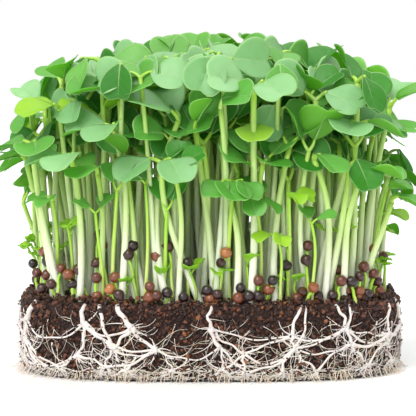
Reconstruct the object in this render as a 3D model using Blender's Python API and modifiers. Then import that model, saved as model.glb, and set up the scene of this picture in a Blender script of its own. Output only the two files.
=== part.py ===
"""Microgreens growing on a root-bound block of growing medium, as it comes out of its tray.

Metres, +Z up. The origin is the centre of the block's underside, +X runs along the block's long side
and -Y is its front. Each seedling is a stem that stands in its own hole in the block, with a pair of
seed leaves on its tip.
"""

import math
import random
from dataclasses import dataclass

import bmesh
import bpy
from mathutils import Matrix, Vector

MM = 0.001
UP = Vector((0, 0, 1))

# The clearance that neighbouring pieces keep.
GAP = 0.3 * MM

# The block of growing medium. Its plan is |x/a|^n + |y/b|^n = 1, between an ellipse and a rectangle.
BLOCK_WIDTH = 121 * MM
BLOCK_DEPTH = 84 * MM
BLOCK_HEIGHT = 23.5 * MM
PLAN_POWER = 2.8
BLOCK_SIDES = 48
FOOT_ROUND = 5 * MM
FOOT_SEGMENTS = 3
RIM_ROUND = 2 * MM
RIM_SEGMENTS = 2

# The stems and the holes they stand in.
STEM_RADIUS = 1.15 * MM
STEM_TIP_SHARE = 0.72
STEM_POINTS = 8
ROOTED_DEPTH = 5 * MM
HOLE_SIDES = 8

# The seed leaves: two blades on short stalks, one sheet from one blade's notch to the other's.
LEAF_THICKNESS = 0.6 * MM
STALK_LENGTH = 4.5 * MM
STALK_HALF_WIDTH = 0.8 * MM
STALK_CLIMB = 50
BLADE_DROOP = 24
BLADE_HALF_WIDTH_SHARE = 0.52
BLADE_CUP_SHARE = 0.18
NOTCH_SHARE = 0.16
SHOULDER_SHARE = 0.12
STALK_ROWS = 2
BLADE_ROWS = 4
CROSS_CELLS = 4

# The net of roots round the block's sides.
ROOT_THICKNESS = 0.7 * MM
NET_HEIGHTS = (2.4 * MM, 8.0 * MM, 13.5 * MM, 19.0 * MM)
NET_STANDOFF = 1.05 * MM
NET_COLUMNS = 40
NET_SHIFT = 3
NET_RISE = 1.6 * MM
NET_OPENED_SHARE = 0.3
NET_SEED = 11

# The empty seed coats.
SEED_RADIUS = 1.7 * MM
SEED_BEAK = 0.6 * MM
SEED_BEAK_DIP = 0.15


@dataclass(frozen=True)
class Seedling:
    """A stem and its pair of leaves. Lengths are in mm and angles in degrees.

    foot is where the stem leaves the block and tip where it ends. sway is its sideways bow at half
    height. blade is the blades' length, heading the way the pair faces, spread the angle between the
    blades seen from above, and climb how far the blades point above the horizontal.
    """

    foot: tuple
    tip: tuple
    sway: tuple
    blade: float
    heading: float
    spread: float
    climb: float


SEEDLINGS = (
    # The front row, from left to right.
    Seedling((-46, -26), (-54.5, -30, 71), (-1.0, 0), 11.5, 215, 120, 2),
    Seedling((-40, -31), (-41.5, -39, 67), (1.5, -1), 12.0, 217, 60, 8),
    Seedling((-47, -16), (-46.5, -16, 90), (-2.0, 0), 10.5, 200, 150, 38),
    Seedling((-27, -36), (-29.0, -38, 76), (2.5, 0), 13.0, 210, 70, 6),
    Seedling((-20, -33), (-34.5, -26, 80), (1.5, 0), 10.0, 250, 140, 30),
    Seedling((-13, -37), (-9.5, -36, 79), (-5.0, 0), 14.0, 165, 60, 34),
    Seedling((-3, -35), (-14.5, -41, 66), (-2.5, 0), 12.0, 250, 80, -8),
    Seedling((8, -37), (4.0, -40, 59), (2.5, 0), 11.0, 328, 60, -2),
    Seedling((3, -30), (12.0, -33, 76), (-3.0, 0), 11.0, 200, 150, 4),
    Seedling((20, -36), (24.0, -37, 71), (-2.0, 0), 13.0, 58, 80, 44),
    Seedling((35, -33), (31.5, -38, 67), (3.0, 0), 11.0, 10, 130, 0),
    Seedling((33, -29), (45.0, -32, 77), (-1.0, 0), 12.5, 302, 80, 4),
    Seedling((41, -31), (46.0, -37, 62), (-2.0, 0), 11.0, 20, 85, 15),
    Seedling((48, -24), (56.0, -28, 54), (-1.0, 0), 10.5, 5, 75, 6),
    Seedling((49, -17), (56.5, -17, 83), (-2.0, 0), 11.5, 20, 75, 44),
    # The taller middle of the stand.
    Seedling((-20, -12), (-18.0, -14, 87), (2.0, 0), 13.0, 245, 120, 36),
    Seedling((-6, -6), (-5.5, -6, 96), (-1.5, 0), 11.5, 95, 130, 48),
    Seedling((15, -14), (14.5, -17, 86), (1.5, 0), 13.5, 265, 130, 28),
    Seedling((31, -10), (29.0, -12, 91), (2.0, 0), 14.0, 75, 75, 52),
    # The back and the two ends.
    Seedling((-44, 10), (-50.0, 12, 80), (1.5, 0), 12.0, 190, 130, 20),
    Seedling((47, 12), (51.0, 14, 76), (-1.5, 0), 12.0, 345, 120, 18),
    Seedling((-31, 33), (-34.0, 39, 78), (0, 1.5), 12.0, 110, 130, 22),
    Seedling((-5, 35), (-7.0, 41, 83), (0, 2.0), 12.5, 85, 130, 26),
    Seedling((22, 34), (23.0, 40, 77), (1.5, 1.0), 12.0, 95, 130, 18),
    Seedling((8, 14), (9.0, 15, 92), (0, 1.0), 12.0, 170, 150, 34),
)

# Where the seed coats lie, as (x, y) in mm, and the way the beak points in degrees.
SEED_COATS = (
    (-50, -19, 140),
    (-34.5, -34.5, 250),
    (-8.0, -38, 300),
    (14.2, -37, 210),
    (28.0, -35, 45),
    (44.5, -27, 160),
    (39, 30, 60),
    (-18.5, 36, 120),
)


@dataclass(frozen=True)
class Finish:
    """The colour and roughness of a surface."""

    name: str
    colour: tuple
    roughness: float

    def material(self):
        """The Principled material with this finish, made at its first use."""
        made = bpy.data.materials.get(self.name)
        if made is None:
            made = bpy.data.materials.new(self.name)
            made.use_nodes = True
            made.diffuse_color = (*self.colour, 1)
            shader = made.node_tree.nodes["Principled BSDF"]
            shader.inputs["Base Color"].default_value = (*self.colour, 1)
            shader.inputs["Roughness"].default_value = self.roughness
            shader.inputs["Metallic"].default_value = 0
        return made


MEDIUM = Finish("growing_medium", (0.070, 0.028, 0.016), 0.95)
ROOT = Finish("root", (0.80, 0.74, 0.66), 0.60)
STEM = Finish("stem", (0.72, 0.84, 0.50), 0.40)
LEAF = Finish("leaf", (0.17, 0.42, 0.06), 0.45)
SEED_COAT = Finish("seed_coat", (0.13, 0.045, 0.025), 0.30)


def clear_scene():
    """Removes every object in the file."""
    for obj in list(bpy.data.objects):
        bpy.data.objects.remove(obj, do_unlink=True)


def new_collection(name):
    """A collection linked to the scene."""
    made = bpy.data.collections.new(name)
    bpy.context.scene.collection.children.link(made)
    return made


def add_object(collection, name, data, finish=None):
    """An object for a mesh or a curve, in its finish."""
    if finish is not None:
        data.materials.append(finish.material())
    made = bpy.data.objects.new(name, data)
    collection.objects.link(made)
    return made


def mesh_from(bm, name):
    """A mesh with its faces turned outwards."""
    mesh = bpy.data.meshes.new(name)
    bmesh.ops.recalc_face_normals(bm, faces=bm.faces)
    bm.to_mesh(mesh)
    bm.free()
    return mesh


def compass(degrees):
    """The level unit vector that points this way, counted from +X towards +Y."""
    angle = math.radians(degrees)
    return Vector((math.cos(angle), math.sin(angle), 0))


# ---- The block of growing medium ----


def plan_point(degrees):
    """A point on the block's outline, which runs anticlockwise from +X."""
    way = compass(degrees)
    x = math.copysign(abs(way.x) ** (2 / PLAN_POWER), way.x) * BLOCK_WIDTH / 2
    y = math.copysign(abs(way.y) ** (2 / PLAN_POWER), way.y) * BLOCK_DEPTH / 2
    return Vector((x, y, 0))


def plan_normal(point):
    """The way the block's side faces at a point on its outline."""
    x = math.copysign(abs(2 * point.x / BLOCK_WIDTH) ** (PLAN_POWER - 1), point.x) / BLOCK_WIDTH
    y = math.copysign(abs(2 * point.y / BLOCK_DEPTH) ** (PLAN_POWER - 1), point.y) / BLOCK_DEPTH
    return Vector((x, y, 0)).normalized()


def round_rim(bm, height, radius, segments):
    """Rounds the edges that lie at this height."""
    rim = [e for e in bm.edges if all(abs(v.co.z - height) < GAP for v in e.verts)]
    bmesh.ops.bevel(bm, geom=rim, offset=radius, segments=segments, profile=0.5, affect="EDGES")


def block_mesh():
    """The block, with a well rounded foot and a lightly rounded rim."""
    bm = bmesh.new()
    bmesh.ops.create_cone(bm, cap_ends=True, segments=BLOCK_SIDES, radius1=1, radius2=1, depth=BLOCK_HEIGHT)
    for vert in bm.verts:
        place = plan_point(math.degrees(math.atan2(vert.co.y, vert.co.x)))
        vert.co = place + UP * (vert.co.z + BLOCK_HEIGHT / 2)
    round_rim(bm, 0, FOOT_ROUND, FOOT_SEGMENTS)
    round_rim(bm, BLOCK_HEIGHT, RIM_ROUND, RIM_SEGMENTS)
    return mesh_from(bm, "medium_block")


def planting_hole(collection, name, seedling):
    """The cutter for one stem's hole, which goes down the way the stem leaves the block."""
    slope = stem_slope(seedling, 0)
    above = 3 * MM
    length = ROOTED_DEPTH + above
    middle = stem_path(seedling, 0) + slope * (above - length / 2)
    radius = (STEM_RADIUS + GAP) / math.cos(math.pi / HOLE_SIDES)
    bm = bmesh.new()
    bmesh.ops.create_cone(
        bm,
        cap_ends=True,
        segments=HOLE_SIDES,
        radius1=radius,
        radius2=radius,
        depth=length,
        matrix=Matrix.Translation(middle) @ slope.to_track_quat("Z", "Y").to_matrix().to_4x4(),
    )
    cutter = add_object(collection, name, mesh_from(bm, name))
    cutter.hide_render = True
    cutter.display_type = "WIRE"


def medium_block(collection, cutters):
    """The block, with a blind hole for each stem."""
    block = add_object(collection, "medium_block", block_mesh(), MEDIUM)
    holes = block.modifiers.new("planting_holes", "BOOLEAN")
    holes.operand_type = "COLLECTION"
    holes.collection = cutters
    holes.operation = "DIFFERENCE"
    holes.solver = "EXACT"


# ---- The root net ----


def net_knot(degrees, height):
    """A knot of the net, this far round the block and this high, just off its side."""
    tucked = max(0.0, FOOT_ROUND - height)
    standoff = NET_STANDOFF - FOOT_ROUND + math.sqrt(FOOT_ROUND**2 - tucked**2)
    place = plan_point(degrees)
    return place + plan_normal(place) * standoff + UP * height


def net_mesh():
    """The net's cords as the edges of a band round the block, with some of them left out."""
    dice = random.Random(NET_SEED)
    bm = bmesh.new()
    rows = []
    for height in NET_HEIGHTS:
        rise = 0 if height == NET_HEIGHTS[0] else NET_RISE
        row = []
        for column in range(NET_COLUMNS):
            degrees = 360 * column / NET_COLUMNS + dice.uniform(-1, 1) * NET_SHIFT
            row.append(bm.verts.new(net_knot(degrees, height + dice.uniform(-1, 1) * rise)))
        rows.append(row)
    for low, high in zip(rows, rows[1:]):
        for i in range(NET_COLUMNS):
            j = (i + 1) % NET_COLUMNS
            bm.faces.new((low[i], low[j], high[j], high[i]))
    bm.faces.index_update()
    inner = [e for e in bm.edges if len(e.link_faces) == 2]
    opened, used = [], set()
    for edge in dice.sample(inner, round(len(inner) * NET_OPENED_SHARE)):
        faces = {f.index for f in edge.link_faces}
        if not faces & used:
            opened.append(edge)
            used |= faces
    bmesh.ops.dissolve_edges(bm, edges=opened, use_verts=False)
    return mesh_from(bm, "root_net")


def root_net(collection):
    """The roots that bind the block's sides, one net of cords."""
    net = add_object(collection, "root_net", net_mesh(), ROOT)
    cords = net.modifiers.new("cords", "WIREFRAME")
    cords.thickness = ROOT_THICKNESS
    cords.use_boundary = True
    cords.use_replace = True
    cords.use_even_offset = False


# ---- The seedlings ----


def stem_path(seedling, share):
    """The stem's centre at this share of its way from the block to its tip."""
    foot = Vector((*seedling.foot, 0)) * MM + UP * BLOCK_HEIGHT
    tip = Vector(seedling.tip) * MM
    bow = Vector((*seedling.sway, 0)) * MM
    return foot.lerp(tip, share) + bow * 4 * share * (1 - share)


def stem_slope(seedling, share):
    """The way the stem grows there."""
    step = 0.01
    return (stem_path(seedling, share + step) - stem_path(seedling, share)).normalized()


def stem(collection, name, seedling):
    """A tapering stem that starts at the bottom of its hole."""
    shares = [i / (STEM_POINTS - 1) for i in range(STEM_POINTS)]
    rooted = stem_path(seedling, 0) - stem_slope(seedling, 0) * (ROOTED_DEPTH - GAP)
    centres = [rooted] + [stem_path(seedling, share) for share in shares]
    radii = [1.0] + [1 + (STEM_TIP_SHARE - 1) * share for share in shares]
    data = bpy.data.curves.new(name, "CURVE")
    data.dimensions = "3D"
    data.bevel_depth = STEM_RADIUS
    data.bevel_resolution = 1
    data.use_fill_caps = True
    line = data.splines.new("POLY")
    line.points.add(len(centres) - 1)
    for point, centre, radius in zip(line.points, centres, radii):
        point.co = (*centre, 1)
        point.radius = radius
    add_object(collection, name, data, STEM)


def leaf_course(seedling, side, reach):
    """The way a leaf heads and its slope in degrees, this far out from the stem's tip.

    The two stalks leave the tip in opposite directions and turn to their blades' own heading.
    """
    turned = min(1.0, reach / STALK_LENGTH)
    swing = 90 + (seedling.spread / 2 - 90) * turned
    droop = BLADE_DROOP * max(0.0, reach - STALK_LENGTH) / (seedling.blade * MM)
    slope = STALK_CLIMB + (seedling.climb - STALK_CLIMB) * turned - droop
    return compass(seedling.heading + side * swing), math.radians(slope)


def leaf_frame(seedling, side, reach):
    """The midrib's place this far out, with the directions across the leaf and up from its face."""
    steps = 16
    place = Vector()
    for i in range(steps):
        outward, slope = leaf_course(seedling, side, reach * (i + 0.5) / steps)
        place += (outward * math.cos(slope) + UP * math.sin(slope)) * (reach / steps)
    outward, slope = leaf_course(seedling, side, reach)
    return place, UP.cross(outward) * side, UP * math.cos(slope) - outward * math.sin(slope)


def blade_half_width(blade, share):
    """Half the blade's width at this share of its length: a heart that is broadest past its middle."""
    swell = math.sin(math.pi * (0.86 * share) ** 0.85)
    return STALK_HALF_WIDTH + (blade * BLADE_HALF_WIDTH_SHARE - STALK_HALF_WIDTH) * swell


def leaf_point(seedling, column, across):
    """A point of the leaf sheet, from its column (negative on the other leaf) and its place across."""
    side = 1 if column >= 0 else -1
    row = abs(column)
    blade = seedling.blade * MM
    share = max(0, row - STALK_ROWS) / BLADE_ROWS
    notch = NOTCH_SHARE * (1 - abs(across)) ** 1.5
    shoulder = SHOULDER_SHARE * max(0.0, 2 * abs(across) - 1)
    reach = STALK_LENGTH * min(1, row / STALK_ROWS) + blade * share * (1 - share**2 * (notch + shoulder))
    half = blade_half_width(blade, share)
    place, sideways, upward = leaf_frame(seedling, side, reach)
    cup = BLADE_CUP_SHARE * half * across**2 * min(1, row / STALK_ROWS)
    return place + sideways * half * across + upward * cup


def leaf_pair(collection, name, seedling):
    """The two seed leaves, on the stem's tip."""
    columns = STALK_ROWS + BLADE_ROWS
    tip = stem_path(seedling, 1) + stem_slope(seedling, 1) * (GAP + LEAF_THICKNESS / 2)
    bm = bmesh.new()
    bmesh.ops.create_grid(bm, x_segments=2 * columns, y_segments=CROSS_CELLS, size=1)
    for vert in bm.verts:
        vert.co = tip + leaf_point(seedling, round(vert.co.x * columns), vert.co.y)
    made = add_object(collection, name, mesh_from(bm, name), LEAF)
    sheet = made.modifiers.new("thickness", "SOLIDIFY")
    sheet.thickness = LEAF_THICKNESS
    sheet.offset = 0


# ---- The seed coats ----


def seed_coat(collection, name, x, y, heading):
    """An empty seed coat, round but for the short beak where the root came out."""
    bm = bmesh.new()
    bmesh.ops.create_icosphere(bm, subdivisions=2, radius=SEED_RADIUS)
    beak = (compass(heading) - UP * SEED_BEAK_DIP).normalized()
    end = max(bm.verts, key=lambda vert: vert.co.dot(beak))
    end.co += beak * SEED_BEAK
    made = add_object(collection, name, mesh_from(bm, name), SEED_COAT)
    made.location = (x * MM, y * MM, BLOCK_HEIGHT + GAP + SEED_RADIUS)


def main():
    clear_scene()
    greens = new_collection("microgreens")
    cutters = new_collection("cutters")
    for number, seedling in enumerate(SEEDLINGS, 1):
        stem(greens, f"stem_{number:02d}", seedling)
        leaf_pair(greens, f"leaf_pair_{number:02d}", seedling)
        planting_hole(cutters, f"hole_{number:02d}", seedling)
    medium_block(greens, cutters)
    root_net(greens)
    for number, (x, y, heading) in enumerate(SEED_COATS, 1):
        seed_coat(greens, f"seed_coat_{number:02d}", x, y, heading)


main()
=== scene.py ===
"""Looks of the microgreens on their block of growing medium.

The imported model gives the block, the net's place, 25 stems with their leaf pairs, and 8 seed coats. This
script dresses the block, grows each of those seedlings in full detail, fills the stand up with its other
seedlings, and adds the crumbs, the roots, the seeds, the late sprouts, the floor, the light and the camera.
"""

import itertools
import logging
import math
import random
from dataclasses import dataclass, field
from enum import Enum
from functools import cached_property
from typing import Any, Iterable, Sequence

import bpy
import numpy as np
from mathutils import Matrix, Vector, noise


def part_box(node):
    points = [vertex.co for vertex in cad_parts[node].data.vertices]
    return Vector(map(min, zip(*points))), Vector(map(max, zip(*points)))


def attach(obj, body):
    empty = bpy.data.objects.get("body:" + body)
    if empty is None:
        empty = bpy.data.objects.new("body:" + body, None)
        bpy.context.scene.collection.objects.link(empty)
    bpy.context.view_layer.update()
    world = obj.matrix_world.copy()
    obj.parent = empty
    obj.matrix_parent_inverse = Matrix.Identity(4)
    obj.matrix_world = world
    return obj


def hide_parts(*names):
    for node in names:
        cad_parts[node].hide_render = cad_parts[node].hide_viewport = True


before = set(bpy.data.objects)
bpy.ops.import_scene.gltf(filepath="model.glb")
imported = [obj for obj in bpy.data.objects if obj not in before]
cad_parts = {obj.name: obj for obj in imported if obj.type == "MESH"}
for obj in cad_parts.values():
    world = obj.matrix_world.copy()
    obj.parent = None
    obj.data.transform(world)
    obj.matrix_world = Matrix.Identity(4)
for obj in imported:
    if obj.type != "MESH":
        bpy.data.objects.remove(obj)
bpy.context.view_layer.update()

LOG = logging.getLogger("microgreens")
MM = 0.001
UP = Vector((0.0, 0.0, 1.0))
SPREAD = "spread"
TONE = "tone"
RIM = "rim"

Colour = tuple[float, float, float]
Point = tuple[float, ...]


# ---- Shader nodes ----


class Sock:
    """A shader value on which Python's operators add Math nodes."""

    def __init__(self, book: "NodeBook", socket: bpy.types.NodeSocket) -> None:
        """Wraps the output socket that carries the value, in this material's nodes."""
        self.book = book
        self.socket = socket

    def maths(self, operation: str, *values: Any) -> "Sock":
        """The result of a Math node's operation on these values, in the node's order."""
        return self.book.node("ShaderNodeMath", {"operation": operation}, dict(enumerate(values)))

    def __add__(self, other: Any) -> "Sock":
        """self + other."""
        return self.maths("ADD", self, other)

    __radd__ = __add__

    def __sub__(self, other: Any) -> "Sock":
        """self - other."""
        return self.maths("SUBTRACT", self, other)

    def __rsub__(self, other: Any) -> "Sock":
        """other - self."""
        return self.maths("SUBTRACT", other, self)

    def __mul__(self, other: Any) -> "Sock":
        """self * other."""
        return self.maths("MULTIPLY", self, other)

    __rmul__ = __mul__

    def __truediv__(self, other: Any) -> "Sock":
        """self / other."""
        return self.maths("DIVIDE", self, other)

    def __rtruediv__(self, other: Any) -> "Sock":
        """other / self."""
        return self.maths("DIVIDE", other, self)

    def __abs__(self) -> "Sock":
        """The value without its sign."""
        return self.maths("ABSOLUTE", self)

    def fraction(self) -> "Sock":
        """What is left above the whole number."""
        return self.maths("FRACT", self)

    def clamped(self) -> "Sock":
        """The value held between 0 and 1."""
        return self.book.node("ShaderNodeClamp", {}, {"Value": self})


class NodeBook:
    """One material and the nodes in it."""

    def __init__(self, name: str) -> None:
        """Makes the material, with nothing but its output node.

        Args:
            name: the material's name.
        """
        self.material = bpy.data.materials.new(name)
        self.material.use_nodes = True
        self.tree = self.material.node_tree
        self.tree.nodes.clear()
        self.output = self.tree.nodes.new("ShaderNodeOutputMaterial")

    def node(
        self, kind: str, settings: dict[str, Any], values: dict[Any, Any], output: int | str = 0
    ) -> Sock:
        """Adds any node.

        Args:
            kind: the node's type.
            settings: its own settings, and "stops" for a ramp's places and colours. They are set first.
            values: numbers, colours or links for its sockets, by name or index.
            output: the output that is wanted.

        Returns:
            That output.
        """
        made = self.tree.nodes.new(kind)
        for name, setting in settings.items():
            if name == "stops":
                self._set_stops(made.color_ramp, setting)
            else:
                setattr(made, name, setting)
        for key, value in values.items():
            if isinstance(value, Sock):
                self.tree.links.new(value.socket, made.inputs[key])
            elif isinstance(value, tuple) and len(value) == 3 and made.inputs[key].type == "RGBA":
                made.inputs[key].default_value = (*value, 1.0)
            else:
                made.inputs[key].default_value = value
        return Sock(self, made.outputs[output])

    @staticmethod
    def _set_stops(ramp: bpy.types.ColorRamp, stops: Sequence[tuple[float, Colour]]) -> None:
        """Gives a colour ramp its stops.

        Args:
            ramp: the ramp.
            stops: the places from 0 to 1 with their colours.
        """
        while len(ramp.elements) < len(stops):
            ramp.elements.new(1.0)
        for element, (place, colour) in zip(ramp.elements, stops):
            element.position = place
            element.color = (*colour, 1.0)

    def mix(self, share: Any, first: Any, second: Any, blend: str = "MIX") -> Sock:
        """Two colours mixed, with this share of the second, from 0 to 1."""
        settings = {"data_type": "RGBA", "blend_type": blend}
        return self.node("ShaderNodeMix", settings, {0: share, 6: first, 7: second}, 2)

    def ramp(self, value: Sock, stops: Sequence[tuple[float, Colour]]) -> Sock:
        """The colour that a ramp gives for a value."""
        return self.node("ShaderNodeValToRGB", {"stops": stops}, {"Fac": value})

    def place(self) -> Sock:
        """The place on the object, in metres."""
        return self.node("ShaderNodeTexCoord", {}, {}, "Object")

    def grain(self, size: float, detail: float = 2.0, stretch: Point = (1.0, 1.0, 1.0)) -> Sock:
        """Noise from 0 to 1.

        Args:
            size: how large its blotches are, in metres.
            detail: how many finer layers it has.
            stretch: how much longer they are along X, Y and Z.

        Returns:
            The noise.
        """
        scale = tuple(1.0 / (size * s) for s in stretch)
        spread = self.node("ShaderNodeVectorMath", {"operation": "MULTIPLY"}, {0: self.place(), 1: scale})
        return self.node("ShaderNodeTexNoise", {}, {"Vector": spread, "Scale": 1.0, "Detail": detail})

    def attribute(self, name: str) -> Sock:
        """A number stored on the mesh."""
        return self.node("ShaderNodeAttribute", {"attribute_name": name}, {}, "Fac")

    def spread(self) -> tuple[Sock, Sock]:
        """The two flat coordinates stored on the mesh.

        Returns:
            How far along the form a place is, and how far across.
        """
        flat = self.node("ShaderNodeUVMap", {"uv_map": SPREAD}, {})
        parts = self.node("ShaderNodeSeparateXYZ", {}, {0: flat})
        return parts, Sock(self, parts.socket.node.outputs[1])

    def bump(self, height: Sock, strength: float, distance: float) -> Sock:
        """A normal that follows a height from 0 to 1, which stands for this distance in metres."""
        values = {"Strength": strength, "Distance": distance, "Height": height}
        return self.node("ShaderNodeBump", {}, values)

    def surface(self, shader: Sock) -> bpy.types.Material:
        """Ends the material with this shader."""
        self.tree.links.new(shader.socket, self.output.inputs["Surface"])
        return self.material

    def principled(self, values: dict[str, Any]) -> Sock:
        """A Principled shader with these values."""
        return self.node("ShaderNodeBsdfPrincipled", {}, values)


# ---- Finishes ----


class Finish:
    """A surface that is made once and shared by its pieces."""

    slot = ""
    _made: dict["Finish", bpy.types.Material] = {}

    def material(self) -> bpy.types.Material:
        """The finish's material, made when a piece first asks for it.

        Returns:
            The material.
        """
        if self not in Finish._made:
            Finish._made[self] = self.paint()
        return Finish._made[self]

    def paint(self) -> bpy.types.Material:
        """Makes the material."""
        raise NotImplementedError


@dataclass(frozen=True)
class LeafFinish(Finish):
    """A seed leaf: waxy, with pale veins and rim, and light coming through it."""

    name: str
    dark: Colour
    light: Colour
    glow: Colour
    # The lower face's green: partly its own colour, partly painted glow of light shining through the leaf.
    under: Colour = (0.19, 0.50, 0.03)
    vein: Colour = (0.54, 0.78, 0.34)
    side_veins: float = 4.6
    vein_slant: float = 1.7
    rim_start: float = 0.94
    see_through: float = 0.40
    slot = "leaf"

    def paint(self) -> bpy.types.Material:
        """Makes the material.

        Returns:
            The material.
        """
        book = NodeBook(self.name)
        along, across = book.spread()
        aside = abs(across)
        rim = book.attribute(RIM)
        midrib = ((1.15 - along) * 0.06 - aside) * 26.0
        vein = (along * self.side_veins - aside * self.vein_slant).fraction() - 0.5
        side_veins = (0.07 - abs(vein)) * 9.0 * (1.0 - aside)
        veins = (midrib.clamped() + side_veins.clamped() * 0.45).clamped()
        edge = ((abs(rim) - self.rim_start) * 22.0).clamped()
        blotches = book.grain(3.5 * MM, 3.0)
        tone = (book.attribute(TONE) * 0.75 + blotches * 0.45 - 0.1).clamped()
        green = book.mix(tone, self.dark, self.light)
        green = book.mix(veins * 0.6, green, self.vein)
        green = book.mix(edge * 0.75, green, self.vein)
        # Painted glow on the lower face: mixed towards the vivid under green, partly the face's own colour
        # and partly light shining through.
        under = (rim * -1000.0).clamped()
        green = book.mix(under * 0.6, green, self.under)
        skin = book.grain(0.22 * MM, 2.0)
        relief = veins * -0.7 + skin * 0.22 + blotches * 0.3
        shader = book.principled(
            {
                "Base Color": green,
                "Roughness": book.grain(1.5 * MM, 1.0) * 0.16 + 0.34,
                "Specular IOR Level": 0.5,
                "Normal": book.bump(relief, 0.55, 0.16 * MM),
            }
        )
        through = book.node("ShaderNodeBsdfTranslucent", {}, {"Color": self.glow})
        both = book.node("ShaderNodeMixShader", {}, {0: self.see_through, 1: shader, 2: through})
        return book.surface(both)


@dataclass(frozen=True)
class StemFinish(Finish):
    """A stem: white at the foot, green at the fork, faintly ribbed and moist."""

    name: str
    foot: Colour
    middle: Colour
    top: Colour
    # Painted shade: the dark green of stems in shadow.
    shaded: Colour = (0.18, 0.38, 0.04)
    slot = "stem"

    def paint(self) -> bpy.types.Material:
        """Makes the material.

        Returns:
            The material.
        """
        book = NodeBook(self.name)
        along, _ = book.spread()
        tone = book.attribute(TONE)
        ribs = book.grain(0.5 * MM, 2.0, (1.0, 1.0, 26.0))
        drift = book.grain(6 * MM, 2.0, (1.0, 1.0, 3.0))
        height = (along + (drift - 0.5) * 0.22 + (tone - 0.5) * 0.28).clamped()
        colour = book.ramp(height, ((0.0, self.foot), (0.22, self.foot), (0.6, self.middle), (1.0, self.top)))
        colour = book.mix(((ribs - 0.42) * 0.9).clamped(), colour, self.top)
        # Painted shade: stems of low tone, picked at random, are darkened towards the shaded green.
        colour = book.mix(((0.30 - tone) * 2.4).clamped(), colour, self.shaded)
        shader = book.principled(
            {
                "Base Color": colour,
                "Roughness": ribs * 0.14 + 0.30,
                "Subsurface Weight": 0.22,
                "Subsurface Radius": (1.0, 0.9, 0.4),
                "Subsurface Scale": 0.9 * MM,
                "Normal": book.bump(ribs, 0.5, 0.12 * MM),
            }
        )
        return book.surface(shader)


@dataclass(frozen=True)
class CrumbFinish(Finish):
    """Growing medium: near-black to red-brown grains."""

    name: str
    slot = "growing_medium"

    def paint(self) -> bpy.types.Material:
        """Makes the material.

        Returns:
            The material.
        """
        book = NodeBook(self.name)
        tone = book.attribute(TONE)
        grain = book.grain(0.35 * MM, 3.0)
        shade = (tone * 0.8 + (grain - 0.5) * 0.7 + 0.1).clamped()
        colour = book.ramp(
            shade,
            (
                (0.0, (0.005, 0.002, 0.002)),
                (0.42, (0.036, 0.012, 0.007)),
                (0.74, (0.14, 0.044, 0.018)),
                (1.0, (0.42, 0.15, 0.055)),
            ),
        )
        values = {"Base Color": colour, "Roughness": grain * 0.3 + 0.42}
        values["Normal"] = book.bump(grain, 0.6, 0.1 * MM)
        return book.surface(book.principled(values))


@dataclass(frozen=True)
class BedFinish(Finish):
    """The felted body of the block, which shows dark between the crumbs and whitish with root felt below."""

    name: str
    felt: Colour = (0.62, 0.52, 0.42)
    felt_height: float = 1.6 * MM
    slot = "growing_medium"

    def paint(self) -> bpy.types.Material:
        """Makes the material.

        Returns:
            The material.
        """
        book = NodeBook(self.name)
        coarse = book.grain(0.9 * MM, 4.0)
        fine = book.grain(0.3 * MM, 3.0)
        colour = book.ramp(
            coarse, ((0.3, (0.006, 0.003, 0.002)), (0.55, (0.030, 0.011, 0.007)), (0.8, (0.10, 0.036, 0.018)))
        )
        height = book.node("ShaderNodeSeparateXYZ", {}, {0: book.place()}, 2)
        felted = (book.grain(1.4 * MM, 4.0, (1.6, 1.6, 0.5)) - 0.48) * 6.0
        low = ((self.felt_height - height) / self.felt_height).clamped()
        colour = book.mix(felted.clamped() * low, colour, self.felt)
        values = {"Base Color": colour, "Roughness": fine * 0.2 + 0.78}
        values["Normal"] = book.bump(coarse + fine * 0.5, 1.0, 0.6 * MM)
        return book.surface(book.principled(values))


@dataclass(frozen=True)
class RootFinish(Finish):
    """A root: cream to faint lilac, moist, with thin stains of the medium."""

    name: str
    pale: Colour
    stain: Colour
    cool: Colour = (0.74, 0.68, 0.74)
    slot = "root"

    def paint(self) -> bpy.types.Material:
        """Makes the material.

        Returns:
            The material.
        """
        book = NodeBook(self.name)
        stains = ((book.grain(2.2 * MM, 3.0) - 0.50) * 3.2).clamped()
        ground = book.mix((book.grain(9 * MM, 1.0) - 0.35).clamped(), self.pale, self.cool)
        colour = book.mix(stains * 0.5, ground, self.stain)
        strands = book.grain(0.3 * MM, 2.0, (1.0, 1.0, 7.0))
        shader = book.principled(
            {
                "Base Color": colour,
                "Roughness": strands * 0.2 + 0.38,
                "Subsurface Weight": 0.12,
                "Subsurface Scale": 0.6 * MM,
                "Normal": book.bump(strands, 0.6, 0.12 * MM),
            }
        )
        return book.surface(shader)


@dataclass(frozen=True)
class SeedFinish(Finish):
    """A seed coat: finely wrinkled, near-black to chestnut, with a slight gloss."""

    name: str
    cells: float = 2600.0
    slot = "seed_coat"

    def paint(self) -> bpy.types.Material:
        """Makes the material.

        Returns:
            The material.
        """
        book = NodeBook(self.name)
        tone = book.attribute(TONE)
        mottle = book.grain(1.1 * MM, 3.0)
        cells = book.node("ShaderNodeTexVoronoi", {}, {"Vector": book.place(), "Scale": self.cells})
        colour = book.ramp(
            (tone + (mottle - 0.5) * 0.34).clamped(),
            (
                (0.0, (0.016, 0.009, 0.010)),
                (0.3, (0.045, 0.017, 0.015)),
                (0.6, (0.125, 0.033, 0.018)),
                (0.85, (0.25, 0.075, 0.026)),
                (1.0, (0.42, 0.15, 0.045)),
            ),
        )
        shader = book.principled(
            {
                "Base Color": colour,
                "Roughness": mottle * 0.2 + 0.26,
                "Coat Weight": 0.3,
                "Normal": book.bump(mottle + cells * 0.35, 0.5, 0.14 * MM),
            }
        )
        return book.surface(shader)


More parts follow.
